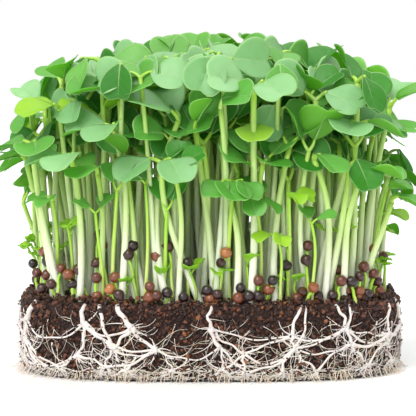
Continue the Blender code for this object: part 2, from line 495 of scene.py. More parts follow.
@dataclass(frozen=True)
class FloorFinish(Finish):
    """A plain pale floor."""

    name: str
    light: Colour = (0.93, 0.93, 0.93)
    dull: Colour = (0.90, 0.90, 0.90)

    def paint(self) -> bpy.types.Material:
        """Makes the material.

        Returns:
            The material.
        """
        book = NodeBook(self.name)
        cloud = book.grain(0.4, 2.0)
        colour = book.mix(cloud * 0.1, self.light, self.dull)
        return book.surface(book.principled({"Base Color": colour, "Roughness": 0.7}))


class Green(Enum):
    """The greens that a seed leaf can have. The pale green is a lit copy with painted sheen, and the deep
    green a shaded copy with painted shade.
    """

    # Painted sheen: a pale bluish green that stands for the white light reflected on the leaf tops.
    PALE = LeafFinish("leaf_pale", (0.23, 0.50, 0.20), (0.46, 0.75, 0.40), (0.40, 0.80, 0.06))
    FRESH = LeafFinish("leaf_fresh", (0.09, 0.36, 0.04), (0.25, 0.59, 0.13), (0.32, 0.76, 0.02))
    # Painted shade: a dark green that stands for leaves in shade.
    DEEP = LeafFinish("leaf_deep", (0.025, 0.18, 0.015), (0.09, 0.37, 0.04), (0.18, 0.62, 0.005))
    LIME = LeafFinish("leaf_lime", (0.32, 0.60, 0.03), (0.52, 0.80, 0.07), (0.60, 0.90, 0.01))


STEM = StemFinish("stem", (0.82, 0.83, 0.70), (0.62, 0.77, 0.33), (0.36, 0.61, 0.07))
SHOOT = StemFinish("shoot", (0.60, 0.70, 0.24), (0.46, 0.68, 0.10), (0.32, 0.62, 0.04))
ROOT = RootFinish("root", (0.78, 0.71, 0.65), (0.36, 0.24, 0.17))
HAIR_ROOT = RootFinish("hair_root", (0.80, 0.69, 0.55), (0.50, 0.33, 0.20))
CRUMB = CrumbFinish("crumb")
BED = BedFinish("bed")
SEED = SeedFinish("seed_coat")
FLOOR = FloorFinish("floor")


# ---- Meshes ----


class Mould:
    """Collects the points and faces of one piece."""

    def __init__(self) -> None:
        """Starts empty."""
        self.points: list[Point] = []
        self.faces: list[tuple[int, ...]] = []
        self.spread: list[tuple[float, float]] = []
        self.tone: list[float] = []
        self.rim: list[float] = []

    def add(
        self,
        points: Sequence[Any],
        faces: Iterable[Sequence[int]],
        spread: Sequence[tuple[float, float]],
        tone: float,
        rim: Sequence[float] | None = None,
    ) -> None:
        """Adds a closed form.

        Args:
            points: its points.
            faces: its faces, by point.
            spread: each point's flat coordinates.
            tone: its shade from 0 to 1.
            rim: how near each point is to an edge.
        """
        first = len(self.points)
        self.points.extend(tuple(p) for p in points)
        self.faces.extend(tuple(first + i for i in face) for face in faces)
        self.spread.extend(spread)
        self.tone.extend([tone] * len(points))
        self.rim.extend(rim if rim is not None else [0.0] * len(points))

    def tube(
        self,
        course: Sequence[Vector],
        radii: Sequence[float],
        sides: int,
        tone: float,
        vein: bool = False,
        start: float = 0.0,
    ) -> None:
        """Adds a round tube with closed ends.

        Args:
            course: the points along its middle.
            radii: its radius at each.
            sides: how many sides it has.
            tone: its shade from 0 to 1.
            vein: whether it is a leaf's midrib, which is coloured as the middle of the leaf.
            start: how far along its colours begin, from 0 to 1.
        """
        points: list[Vector] = []
        spread: list[tuple[float, float]] = []
        across = None
        last = len(course) - 1
        for i, middle in enumerate(course):
            ahead = (course[min(i + 1, last)] - course[max(i - 1, 0)]).normalized()
            if across is None:
                across = ahead.orthogonal()
            across = (across - ahead * across.dot(ahead)).normalized()
            beside = ahead.cross(across)
            for j in range(sides):
                angle = math.tau * j / sides
                points.append(middle + (across * math.cos(angle) + beside * math.sin(angle)) * radii[i])
                spread.append((start + (1 - start) * i / last, 0.0 if vein else j / sides))
        faces: list[tuple[int, ...]] = []
        for i in range(last):
            for j in range(sides):
                k = (j + 1) % sides
                faces.append((i * sides + j, i * sides + k, (i + 1) * sides + k, (i + 1) * sides + j))
        faces.append(tuple(reversed(range(sides))))
        faces.append(tuple(last * sides + j for j in range(sides)))
        self.add(points, faces, spread, tone)

    def cast(self, name: str, finish: Finish, smooth: bool = True) -> bpy.types.Object:
        """Makes the piece.

        Args:
            name: the piece's name.
            finish: its surface.
            smooth: whether it is shaded smooth.

        Returns:
            The piece, which rides on the part.
        """
        mesh = bpy.data.meshes.new(name)
        mesh.from_pydata(self.points, [], self.faces)
        corners = np.empty(len(mesh.loops), dtype=np.int32)
        mesh.loops.foreach_get("vertex_index", corners)
        spread = np.array(self.spread, dtype=np.float32)[corners]
        mesh.uv_layers.new(name=SPREAD).data.foreach_set("uv", spread.ravel())
        for key, values in ((TONE, self.tone), (RIM, self.rim)):
            data = mesh.attributes.new(key, "FLOAT", "POINT").data
            data.foreach_set("value", np.array(values, dtype=np.float32))
        if smooth:
            mesh.shade_smooth()
        else:
            mesh.shade_flat()
        mesh.materials.append(finish.material())
        piece = bpy.data.objects.new(name, mesh)
        bpy.context.scene.collection.objects.link(piece)
        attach(piece, "root")
        return piece


def compass(degrees: float) -> Vector:
    """The level unit vector that points this way, counted from +X towards +Y."""
    angle = math.radians(degrees)
    return Vector((math.cos(angle), math.sin(angle), 0.0))


def report(piece: bpy.types.Object) -> None:
    """Logs a finished piece."""
    LOG.info("%s: %d faces", piece.name, len(piece.data.polygons))


# ---- The block ----


@dataclass(frozen=True)
class Outline:
    """The block's outline in plan, |x/a|^n + |y/b|^n = 1, walked by distance."""

    half_width: float
    half_depth: float
    height: float
    power: float = 2.8
    foot_round: float = 5 * MM
    rim_round: float = 2 * MM
    steps: int = 1440

    @cached_property
    def table(self) -> tuple[np.ndarray, np.ndarray, np.ndarray]:
        """Closely spaced points on the outline.

        Returns:
            Their distance round from the middle of the front, their x and their y.
        """
        turn = np.linspace(-math.pi / 2, 1.5 * math.pi, self.steps)
        x = np.sign(np.cos(turn)) * np.abs(np.cos(turn)) ** (2 / self.power) * self.half_width
        y = np.sign(np.sin(turn)) * np.abs(np.sin(turn)) ** (2 / self.power) * self.half_depth
        run = np.concatenate(([0.0], np.cumsum(np.hypot(np.diff(x), np.diff(y)))))
        return run, x, y

    @property
    def length(self) -> float:
        """The distance all round."""
        return float(self.table[0][-1])

    def side(self, along: float, height: float, out: float) -> Vector:
        """A point on or off the block's side.

        Args:
            along: the distance round from the middle of the front, anticlockwise seen from above.
            height: the height above the underside.
            out: how far the point stands off the side.

        Returns:
            The point.
        """
        run, x, y = self.table
        along %= self.length
        px, py = float(np.interp(along, run, x)), float(np.interp(along, run, y))
        slope_x = math.copysign(abs(px / self.half_width) ** (self.power - 1), px) / self.half_width
        slope_y = math.copysign(abs(py / self.half_depth) ** (self.power - 1), py) / self.half_depth
        outward = Vector((slope_x, slope_y, 0.0)).normalized()
        tucked = min(self.foot_round, max(0.0, self.foot_round - height))
        eased = min(self.rim_round, max(0.0, height - self.height + self.rim_round))
        inset = self.foot_round - math.sqrt(self.foot_round**2 - tucked**2)
        inset += self.rim_round - math.sqrt(self.rim_round**2 - eased**2)
        return Vector((px, py, height)) + outward * (out - inset)

    def share(self, x: float, y: float) -> float:
        """How far out a place is: 0 in the middle and 1 on the outline."""
        powers = abs(x / self.half_width) ** self.power + abs(y / self.half_depth) ** self.power
        return powers ** (1 / self.power)

    def front(self, x: float, share: float) -> float:
        """The y of the place at x on the outline shrunk to this share, on the front."""
        left = max(0.0, share**self.power - abs(x / self.half_width) ** self.power)
        return -self.half_depth * left ** (1 / self.power)


@dataclass(frozen=True)
class Crumbs:
    """The crumbs of growing medium on the block's sides, top and brim, and on its thick roots.

    A pair of numbers is the least and the most of something. The standoffs say how far a crumb's middle
    lies outside the surface, in its own radii, and the growths how much larger the largest crumbs are
    there. mound is how high the top's swells rise, and broad and fine how closely they follow each other.
    """

    outline: Outline
    side_count: int = 9400
    top_count: int = 5600
    brim_count: int = 1500
    root_count: int = 1100
    least: float = 0.32 * MM
    most: float = 0.72 * MM
    grades: tuple[float, ...] = (0.8, 1.0, 1.25)
    top_growth: float = 1.2
    brim_growth: float = 1.3
    root_sizes: Point = (0.16, 0.42)
    side_standoff: Point = (-0.15, 0.75)
    top_standoff: Point = (-0.4, 0.6)
    lowest: float = 0.9 * MM
    top_share: float = 0.985
    brim_rise: Point = (-2.5, 2.0)
    brim_out: Point = (-0.4, 0.6)
    stretch: Point = (0.62, 1.25)
    dents: Point = (0.72, 1.22)
    tones: Point = (1.6, 2.2)
    mound: float = 1.6 * MM
    broad: float = 90.0
    fine: float = 260.0
    seed: int = 3

    def shape(self) -> tuple[np.ndarray, np.ndarray]:
        """A plain twenty-sided crumb.

        Returns:
            Its points, one unit from its middle, and its faces.
        """
        gold = (1 + math.sqrt(5)) / 2
        rows = [(-1, gold, 0), (1, gold, 0), (-1, -gold, 0), (1, -gold, 0)]
        rows += [(c, a, b) for a, b, c in rows] + [(b, c, a) for a, b, c in rows]
        points = np.array(rows, dtype=float) / math.hypot(1, gold)
        neighbours = 1.1
        faces = []
        for i, j, k in itertools.combinations(range(len(rows)), 3):
            if all(np.linalg.norm(points[a] - points[b]) < neighbours for a, b in ((i, j), (j, k), (i, k))):
                facing = np.dot(np.cross(points[j] - points[i], points[k] - points[i]), points[i])
                faces.append((i, j, k) if facing > 0 else (k, j, i))
        return points, np.array(faces)

    def cast(self, name: str, places: np.ndarray, sizes: np.ndarray, dice: np.random.Generator) -> None:
        """Makes one piece of many crumbs, each stretched, dented and turned its own way.

        Args:
            name: the piece's name.
            places: the crumbs' middles.
            sizes: their radii.
            dice: the source of their shapes.
        """
        shape, faces = self.shape()
        count = len(places)
        stretch = dice.uniform(*self.stretch, (count, 1, 3))
        dents = dice.uniform(*self.dents, (count, len(shape), 1))
        turn, _ = np.linalg.qr(dice.normal(size=(count, 3, 3)))
        turn *= np.sign(np.linalg.det(turn))[:, None, None]
        local = np.einsum("nij,npj->npi", turn, shape[None] * stretch * dents)
        points = places[:, None, :] + local * sizes[:, None, None]
        starts = np.arange(count)[:, None, None] * len(shape)
        mould = Mould()
        mould.points = [tuple(p) for p in points.reshape(-1, 3)]
        mould.faces = [tuple(f) for f in (faces[None] + starts).reshape(-1, 3).tolist()]
        mould.spread = [(0.0, 0.0)] * len(mould.points)
        mould.tone = np.repeat(dice.beta(*self.tones, count), len(shape)).tolist()
        mould.rim = [0.0] * len(mould.points)
        report(mould.cast(name, CRUMB, smooth=False))

    def on_sides(self, dice: np.random.Generator) -> None:
        """Makes the crumbs on the sides.

        Args:
            dice: the source of their places, sizes and shapes.
        """
        count = self.side_count
        sizes = dice.uniform(self.least, self.most, count) * dice.choice(self.grades, count)
        along = dice.uniform(0, self.outline.length, count)
        height = dice.uniform(self.lowest, self.outline.height, count)
        out = sizes * dice.uniform(*self.side_standoff, count)
        places = np.array([self.outline.side(a, h, o) for a, h, o in zip(along, height, out)])
        self.cast("crumbs_side", places, sizes, dice)

    def on_top(self, dice: np.random.Generator) -> None:
        """Makes the crumbs on the top.

        Args:
            dice: the source of their places, sizes and shapes.
        """
        corner = (self.outline.half_width, self.outline.half_depth)
        spots = dice.uniform(-1, 1, (self.top_count * 2, 2)) * corner
        inside = [self.outline.share(x, y) < self.top_share for x, y in spots]
        spots = spots[inside][: self.top_count]
        ground = np.array([self.ground(x, y) for x, y in spots])
        sizes = dice.uniform(self.least, self.most * self.top_growth, len(spots))
        height = ground + sizes * dice.uniform(*self.top_standoff, len(spots))
        self.cast("crumbs_top", np.column_stack((spots, height)), sizes, dice)

    def on_brim(self, dice: np.random.Generator) -> None:
        """Makes the crumbs heaped along the brim.

        Args:
            dice: the source of their places, sizes and shapes.
        """
        count = self.brim_count
        along = dice.uniform(0, self.outline.length, count)
        height = self.outline.height + dice.uniform(*self.brim_rise, count) * MM
        out = dice.normal(*self.brim_out, count) * MM
        held = np.minimum(height, self.outline.height)
        places = np.array([self.outline.side(a, h, o) for a, h, o in zip(along, held, out)])
        places[:, 2] = height
        sizes = dice.uniform(self.least, self.most * self.brim_growth, count)
        self.cast("crumbs_brim", places, sizes, dice)

    def on_roots(self, dice: np.random.Generator, spots: Sequence[Vector]) -> None:
        """Makes the small crumbs that stick to the thick roots.

        Args:
            dice: the source of their places, sizes and shapes.
            spots: places on the roots' outer sides.
        """
        chosen = dice.choice(len(spots), self.root_count, replace=False)
        places = np.array([spots[i] for i in chosen])
        self.cast("crumbs_on_roots", places, dice.uniform(*self.root_sizes, self.root_count) * MM, dice)

    def build(self, spots_on_roots: Sequence[Vector]) -> None:
        """Makes all the crumbs.

        Args:
            spots_on_roots: places on the thick roots' outer sides.
        """
        dice = np.random.default_rng(self.seed)
        self.on_sides(dice)
        self.on_top(dice)
        self.on_brim(dice)
        self.on_roots(dice, spots_on_roots)

    def ground(self, x: float, y: float) -> float:
        """The height of the uneven top at a place.

        Args:
            x: the place's x.
            y: the place's y.

        Returns:
            The height.
        """
        broad = noise.noise(Vector((x, y, 0.0)) * self.broad)
        fine = 0.5 * noise.noise(Vector((x, y, 5.0)) * self.fine)
        return self.outline.height + max(0.0, broad + fine + 0.25) * self.mound


@dataclass(frozen=True)
class Block:
    """The block of growing medium, which keeps its own shape."""

    node: str = "medium_block"

    def dress(self) -> None:
        """Gives the block its surface."""
        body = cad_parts[self.node]
        body.data.materials.clear()
        body.data.materials.append(BED.material())
        LOG.info("%s dressed", self.node)


# ---- The roots ----


@dataclass(frozen=True)
class Row:
    """A row of places where roots meet: how many, their height, and how much the height varies."""

    count: int
    height: float
    scatter: float


@dataclass(frozen=True)
class FineRoot:
    """A kind of fine root: the lengths and radii in mm that it may have."""

    lengths: Point
    radii: Point

    def length(self, dice: random.Random) -> float:
        """The length of one of them."""
        return dice.uniform(*self.lengths) * MM

    def radius(self, dice: random.Random) -> float:
        """The radius of one of them."""
        return dice.uniform(*self.radii) * MM


@dataclass
class RootNet:
    """The roots on the block's sides, which come down from the brim, meet in stars and form round cells.

    rows are the rows of meeting places and row_radii the roots' radii there and at the foot. A root
    flares where it meets others, and dives cover_depth into the block over the last stretch, cover, below
    the brim. third_link and row_link are how often a meeting place has a third root to the next row, and
    one to its neighbour. Fine roots are rays at the stars, branches with twigs, felt along the foot, free
    ones here and there, strands at the two ends, and tips that lie round the foot.
    """

    outline: Outline
    rows: tuple[Row, ...] = (
        Row(18, 15.2 * MM, 2.4 * MM),
        Row(23, 9.4 * MM, 1.8 * MM),
        Row(29, 4.0 * MM, 1.3 * MM),
    )
    row_radii: tuple[float, ...] = (0.56 * MM, 0.40 * MM, 0.30 * MM, 0.14 * MM)
    taproot: float = 0.85 * MM
    taproot_grades: tuple[float, ...] = (0.62, 0.8, 1.0)
    standoff: float = 0.85 * MM
    flare: float = 1.1
    flare_reach: float = 1.3 * MM
    step: float = 0.9 * MM
    cover: float = 4.5 * MM
    cover_depth: float = 1.5 * MM
    lowest: float = 0.4 * MM
    brim_gap: float = 1.5 * MM
    bare_brim: float = 4 * MM
    stout_from: float = 0.2 * MM
    stout_sides: int = 8
    fine_sides: int = 5
    third_link: float = 0.3
    row_link: float = 0.78
    feet: int = 4
    ray: FineRoot = FineRoot((3, 9), (0.10, 0.24))
    branch: FineRoot = FineRoot((4, 12), (0.08, 0.17))
    twig_lengths: Point = (3, 8)
    twig_share: float = 0.6
    felt: FineRoot = FineRoot((4, 12), (0.06, 0.14))
    felt_count: int = 640
    free: FineRoot = FineRoot((5, 13), (0.05, 0.10))
    free_count: int = 360
    strand: FineRoot = FineRoot((9, 17), (0.12, 0.26))
    strand_count: int = 150
    strand_from: float = 0.78
    tip_count: int = 520
    seed: int = 17
    thick: Mould = field(default_factory=Mould)
    fine: Mould = field(default_factory=Mould)
    spots: list[Vector] = field(default_factory=list)

    def lay(
        self, dice: random.Random, places: Sequence[Point], radii: Sequence[float], out: float, tone: float
    ) -> None:
        """Adds a root's tube and notes where crumbs could stick to it.

        Args:
            dice: the source of its unevenness.
            places: what it passes, as distance round and height.
            radii: its radius at each.
            out: how far its middle stands off the side.
            tone: its shade from 0 to 1.
        """
        stout = max(radii) > self.stout_from
        course = []
        for along, height in places:
            buried = min(1.0, max(0.0, (height - self.outline.height + self.cover) / self.cover))
            stand = out + dice.uniform(-0.06, 0.06) * MM - self.cover_depth * buried**2
            course.append(self.outline.side(along, max(height, self.lowest), stand))
        mould, sides = (self.thick, self.stout_sides) if stout else (self.fine, self.fine_sides)
        mould.tube(course, radii, sides, tone)
        if stout:
            for (along, height), radius in zip(places, radii):
                aside = dice.uniform(-1, 1) * radius
                self.spots.append(self.outline.side(along + aside, height, out + radius * 0.9))

    def link(self, dice: random.Random, first: Point, last: Point, radii: Point, bow: float) -> list[Point]:
        """Adds a root from one meeting place to another, widened where it meets them.

        Args:
            dice: the source of its unevenness.
            first: where it starts, as distance round and height.
            last: where it ends.
            radii: its radius at both.
            bow: how far its middle lies aside, as a share of its length.

        Returns:
            The places that it passes.
        """
        whole, brim = self.outline.length, self.outline.height - MM
        run = (last[0] - first[0] + whole / 2) % whole - whole / 2
        fall = last[1] - first[1]
        length = math.hypot(run, fall)
        count = max(5, round(length / self.step))
        wave, phase = dice.uniform(0.2, 0.7) * MM, dice.uniform(0, math.tau)
        places, sizes = [], []
        for i in range(count + 1):
            s = i / count
            ripple = wave / length * math.sin(phase + math.tau * 1.5 * s) * math.sin(math.pi * s)
            aside = bow * 4 * s * (1 - s) + ripple
            places.append((first[0] + run * s + fall * aside, first[1] + fall * s - run * aside))
            swell = math.exp(-length * (1 - s) / self.flare_reach)
            swell += math.exp(-length * s / self.flare_reach) if first[1] < brim else 0.0
            size = radii[0] + (radii[1] - radii[0]) * s
            sizes.append(size * (1 + self.flare * swell) * dice.uniform(0.9, 1.1))
        self.lay(dice, places, sizes, self.standoff, dice.random())
        return places

    def stray(
        self, dice: random.Random, start: Point, heading: float, length: float, radius: float, out: float
    ) -> list[Point]:
        """Adds a root that wanders off and thins out.

        Args:
            dice: the source of its turns.
            start: where it starts, as distance round and height.
            heading: the way it sets off in degrees, 0 straight down.
            length: how far it goes.
            radius: its radius at the start.
            out: how far its middle stands off the side.

        Returns:
            The places that it passes.
        """
        turn = dice.choice((-1, 1)) * dice.uniform(1.5, 10.5)
        places = [start]
        for _ in range(max(4, round(length / self.step))):
            heading += turn + dice.gauss(0, 5)
            along, height = places[-1]
            along += math.sin(math.radians(heading)) * self.step
            height -= math.cos(math.radians(heading)) * self.step
            if not self.lowest < height < self.outline.height - self.brim_gap:
                break
            places.append((along, height))
        if len(places) > 3:
            last = len(places) - 1
            radii = [radius * (1 - 0.65 * i / last) * (1 + 0.7 * math.exp(-i * 1.1)) for i in range(last + 1)]
            self.lay(dice, places, radii, out, dice.random())
        return places

    def meetings(self, dice: random.Random, row: Row) -> list[Point]:
        """The meeting places of one row.

        Args:
            dice: the source of their unevenness.
            row: the row.

        Returns:
            The places, as distance round and height.
        """
        pitch = self.outline.length / row.count
        return [
            ((i + dice.uniform(-0.32, 0.32)) * pitch, row.height + dice.uniform(-1, 1) * row.scatter)
            for i in range(row.count)
        ]

    def nearest(self, place: Point, others: Sequence[Point], count: int) -> list[Point]:
        """The places among others that lie nearest round the block."""
        whole = self.outline.length
        return sorted(others, key=lambda o: abs((o[0] - place[0] + whole / 2) % whole - whole / 2))[:count]

    def grow_taproots(self, dice: random.Random, rows: Sequence[Sequence[Point]]) -> list[list[Point]]:
        """Adds the roots that come down from the brim to the upper meeting places.

        Args:
            dice: the source of their unevenness.
            rows: the rows of meeting places, the uppermost first.

        Returns:
            The courses of those that branch.
        """
        courses = []
        brim = self.outline.height - 0.5 * MM
        for number, place in enumerate(rows[0]):
            start = (place[0] + dice.uniform(-5, 5) * MM, brim)
            stout = self.taproot * dice.choice(self.taproot_grades)
            courses.append(self.link(dice, start, place, (stout, stout * 0.72), dice.uniform(-0.12, 0.12)))
            if number % 2:
                through = dice.choice(self.nearest(place, rows[1], 2))
                start = (through[0] + dice.uniform(-6, 6) * MM, brim)
                self.link(dice, start, through, (stout * 0.7, stout * 0.5), dice.uniform(-0.1, 0.1))
        return courses

    def grow_net(self, dice: random.Random, rows: Sequence[list[Point]]) -> list[list[Point]]:
        """Adds the roots from row to row, along the rows and from the lowest row to the foot.

        Args:
            dice: the source of their unevenness.
            rows: the rows of meeting places, the uppermost first.

        Returns:
            Their courses.
        """
        courses = []
        for number, (upper, lower) in enumerate(zip(rows, rows[1:])):
            thick, thin = self.row_radii[number], self.row_radii[number + 1]
            for place in upper:
                for other in self.nearest(place, lower, 2 + (dice.random() < self.third_link)):
                    size = dice.uniform(0.6, 1.1)
                    radii = (thick * size, thin * size)
                    courses.append(self.link(dice, place, other, radii, dice.uniform(-0.14, 0.14)))
        for number, row in enumerate(rows):
            radius = self.row_radii[number + 1] * 1.05
            for place, other in zip(row, row[1:] + row[:1]):
                if dice.random() < self.row_link:
                    size = dice.uniform(0.5, 1.0) * radius
                    courses.append(self.link(dice, place, other, (size, size), dice.uniform(-0.05, 0.26)))
        for place in rows[-1]:
            for _ in range(self.feet):
                end = (place[0] + dice.uniform(-6, 6) * MM, 0.6 * MM)
                radii = (dice.uniform(0.6, 1.0) * self.row_radii[2], self.row_radii[3])
                courses.append(self.link(dice, place, end, radii, dice.uniform(-0.15, 0.15)))
        return courses

    def grow_rays(self, dice: random.Random, rows: Sequence[Sequence[Point]]) -> None:
        """Adds the fine roots that make a star of each meeting place.

        Args:
            dice: the source of their unevenness.
            rows: the rows of meeting places.
        """
        for place in itertools.chain(*rows):
            for _ in range(dice.randint(3, 6)):
                radius = self.ray.radius(dice)
                heading = dice.uniform(-150, 150)
                self.stray(dice, place, heading, self.ray.length(dice), radius, self.standoff)

    def grow_branches(self, dice: random.Random, courses: Sequence[Sequence[Point]]) -> None:
        """Adds the fine roots that leave the thicker ones, and the twigs that leave them.

        Args:
            dice: the source of their places and turns.
            courses: the thicker roots' courses.
        """
        for course in courses:
            for _ in range(dice.randint(2, 4)):
                start = dice.choice(course)
                if start[1] > self.outline.height - self.bare_brim:
                    continue
                heading = dice.choice((-1, 1)) * dice.uniform(25, 110)
                radius = self.branch.radius(dice)
                branch = self.stray(dice, start, heading, self.branch.length(dice), radius, self.standoff)
                if dice.random() < self.twig_share:
                    heading += dice.choice((-1, 1)) * dice.uniform(30, 70)
                    start = dice.choice(branch)
                    length = dice.uniform(*self.twig_lengths) * MM
                    self.stray(dice, start, heading, length, radius * 0.7, self.standoff)

    def grow_hairs(self, dice: random.Random) -> None:
        """Adds the fine roots that crowd along the foot, lie here and there, and hang at the two ends.

        Args:
            dice: the source of their places and turns.
        """
        whole = self.outline.length
        for _ in range(self.felt_count):
            start = (dice.uniform(0, whole), 0.5 * MM + abs(dice.gauss(0, 1.9)) * MM)
            heading = dice.choice((-1, 1)) * dice.uniform(50, 115)
            radius = self.felt.radius(dice)
            self.stray(dice, start, heading, self.felt.length(dice), radius, dice.uniform(0.4, 1.0) * MM)
        for _ in range(self.free_count):
            start = (dice.uniform(0, whole), dice.uniform(2, 18.5) * MM)
            radius = self.free.radius(dice)
            heading = dice.uniform(-90, 90)
            self.stray(dice, start, heading, self.free.length(dice), radius, dice.uniform(0.5, 0.9) * MM)
        for _ in range(self.strand_count):
            along = dice.uniform(0, whole)
            middle = self.outline.side(along, self.outline.height / 2, 0)
            if abs(middle.x) < self.strand_from * self.outline.half_width:
                continue
            start = (along, dice.uniform(9, 19) * MM)
            radius = self.strand.radius(dice)
            self.stray(dice, start, dice.uniform(-24, 24), self.strand.length(dice), radius, self.standoff)

    def grow_tips(self, dice: random.Random) -> None:
        """Adds the tips that come off the foot and lie on what the block stands on.

        Args:
            dice: the source of their places and shapes.
        """
        last = 6
        for _ in range(self.tip_count):
            along = dice.uniform(0, self.outline.length)
            radius = dice.uniform(0.07, 0.16) * MM
            lean = dice.uniform(-2, 2) * MM
            reach = dice.uniform(0.4, 3.6) * MM
            height = dice.uniform(0.8, 3.6) * MM
            foot = self.outline.side(along, height, 0.7 * MM)
            away = self.outline.side(along + lean, height, 0.7 * MM + reach)
            course = []
            for k in range(last + 1):
                s = k / last
                point = foot.lerp(away, s**1.2)
                point.z = max(height * (1 - s) ** 1.6, radius)
                course.append(point)
            radii = [radius * (1 - 0.5 * k / last) for k in range(last + 1)]
            self.fine.tube(course, radii, self.fine_sides, dice.random())

    def build(self) -> None:
        """Makes the thick and the fine roots."""
        dice = random.Random(self.seed)
        rows = [self.meetings(dice, row) for row in self.rows]
        courses = self.grow_taproots(dice, rows) + self.grow_net(dice, rows)
        self.grow_rays(dice, rows)
        self.grow_branches(dice, courses)
        self.grow_hairs(dice)
        self.grow_tips(dice)
        thick = self.thick.cast("roots_thick", ROOT)
        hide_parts("root_net")
        report(thick)
        report(self.fine.cast("roots_fine", HAIR_ROOT))


# ---- The seedlings ----


@dataclass(frozen=True)
class Sprout:
    """A stem and its pair of leaves. Lengths are in mm and angles in degrees.

    foot is where the stem leaves the block and tip where it ends. sway is its sideways bow at half
    height. blade is the blades' length, heading the way the pair faces, spread the angle between the
    blades seen from above, and climb how far the blades point above the horizontal. girth is the
    stem's thickness beside that of a full-grown one, and tone its shade from 0 to 1. roll is how far a
    blade may be turned about its own length, and lean how far its face turns outwards to the light at
    the stand's edge.
    """

    foot: Point
    tip: Point
    sway: Point
    blade: float
    heading: float
    spread: float
    climb: float
    green: Green = Green.FRESH
    girth: float = 1.0
    tone: float = 0.5
    roll: float = 14.0
    lean: float = 22.0

    def stem_at(self, share: float, base: float) -> Vector:
        """A place on the stem's middle.

        Args:
            share: how far up the stem it is, from 0 to 1.
            base: the height of the stem's foot.

        Returns:
            The place.
        """
        foot = Vector((*self.foot, 0.0)) * MM + UP * base
        bow = Vector((*self.sway, 0.0)) * MM
        return foot.lerp(Vector(self.tip) * MM, share) + bow * 4 * share * (1 - share)


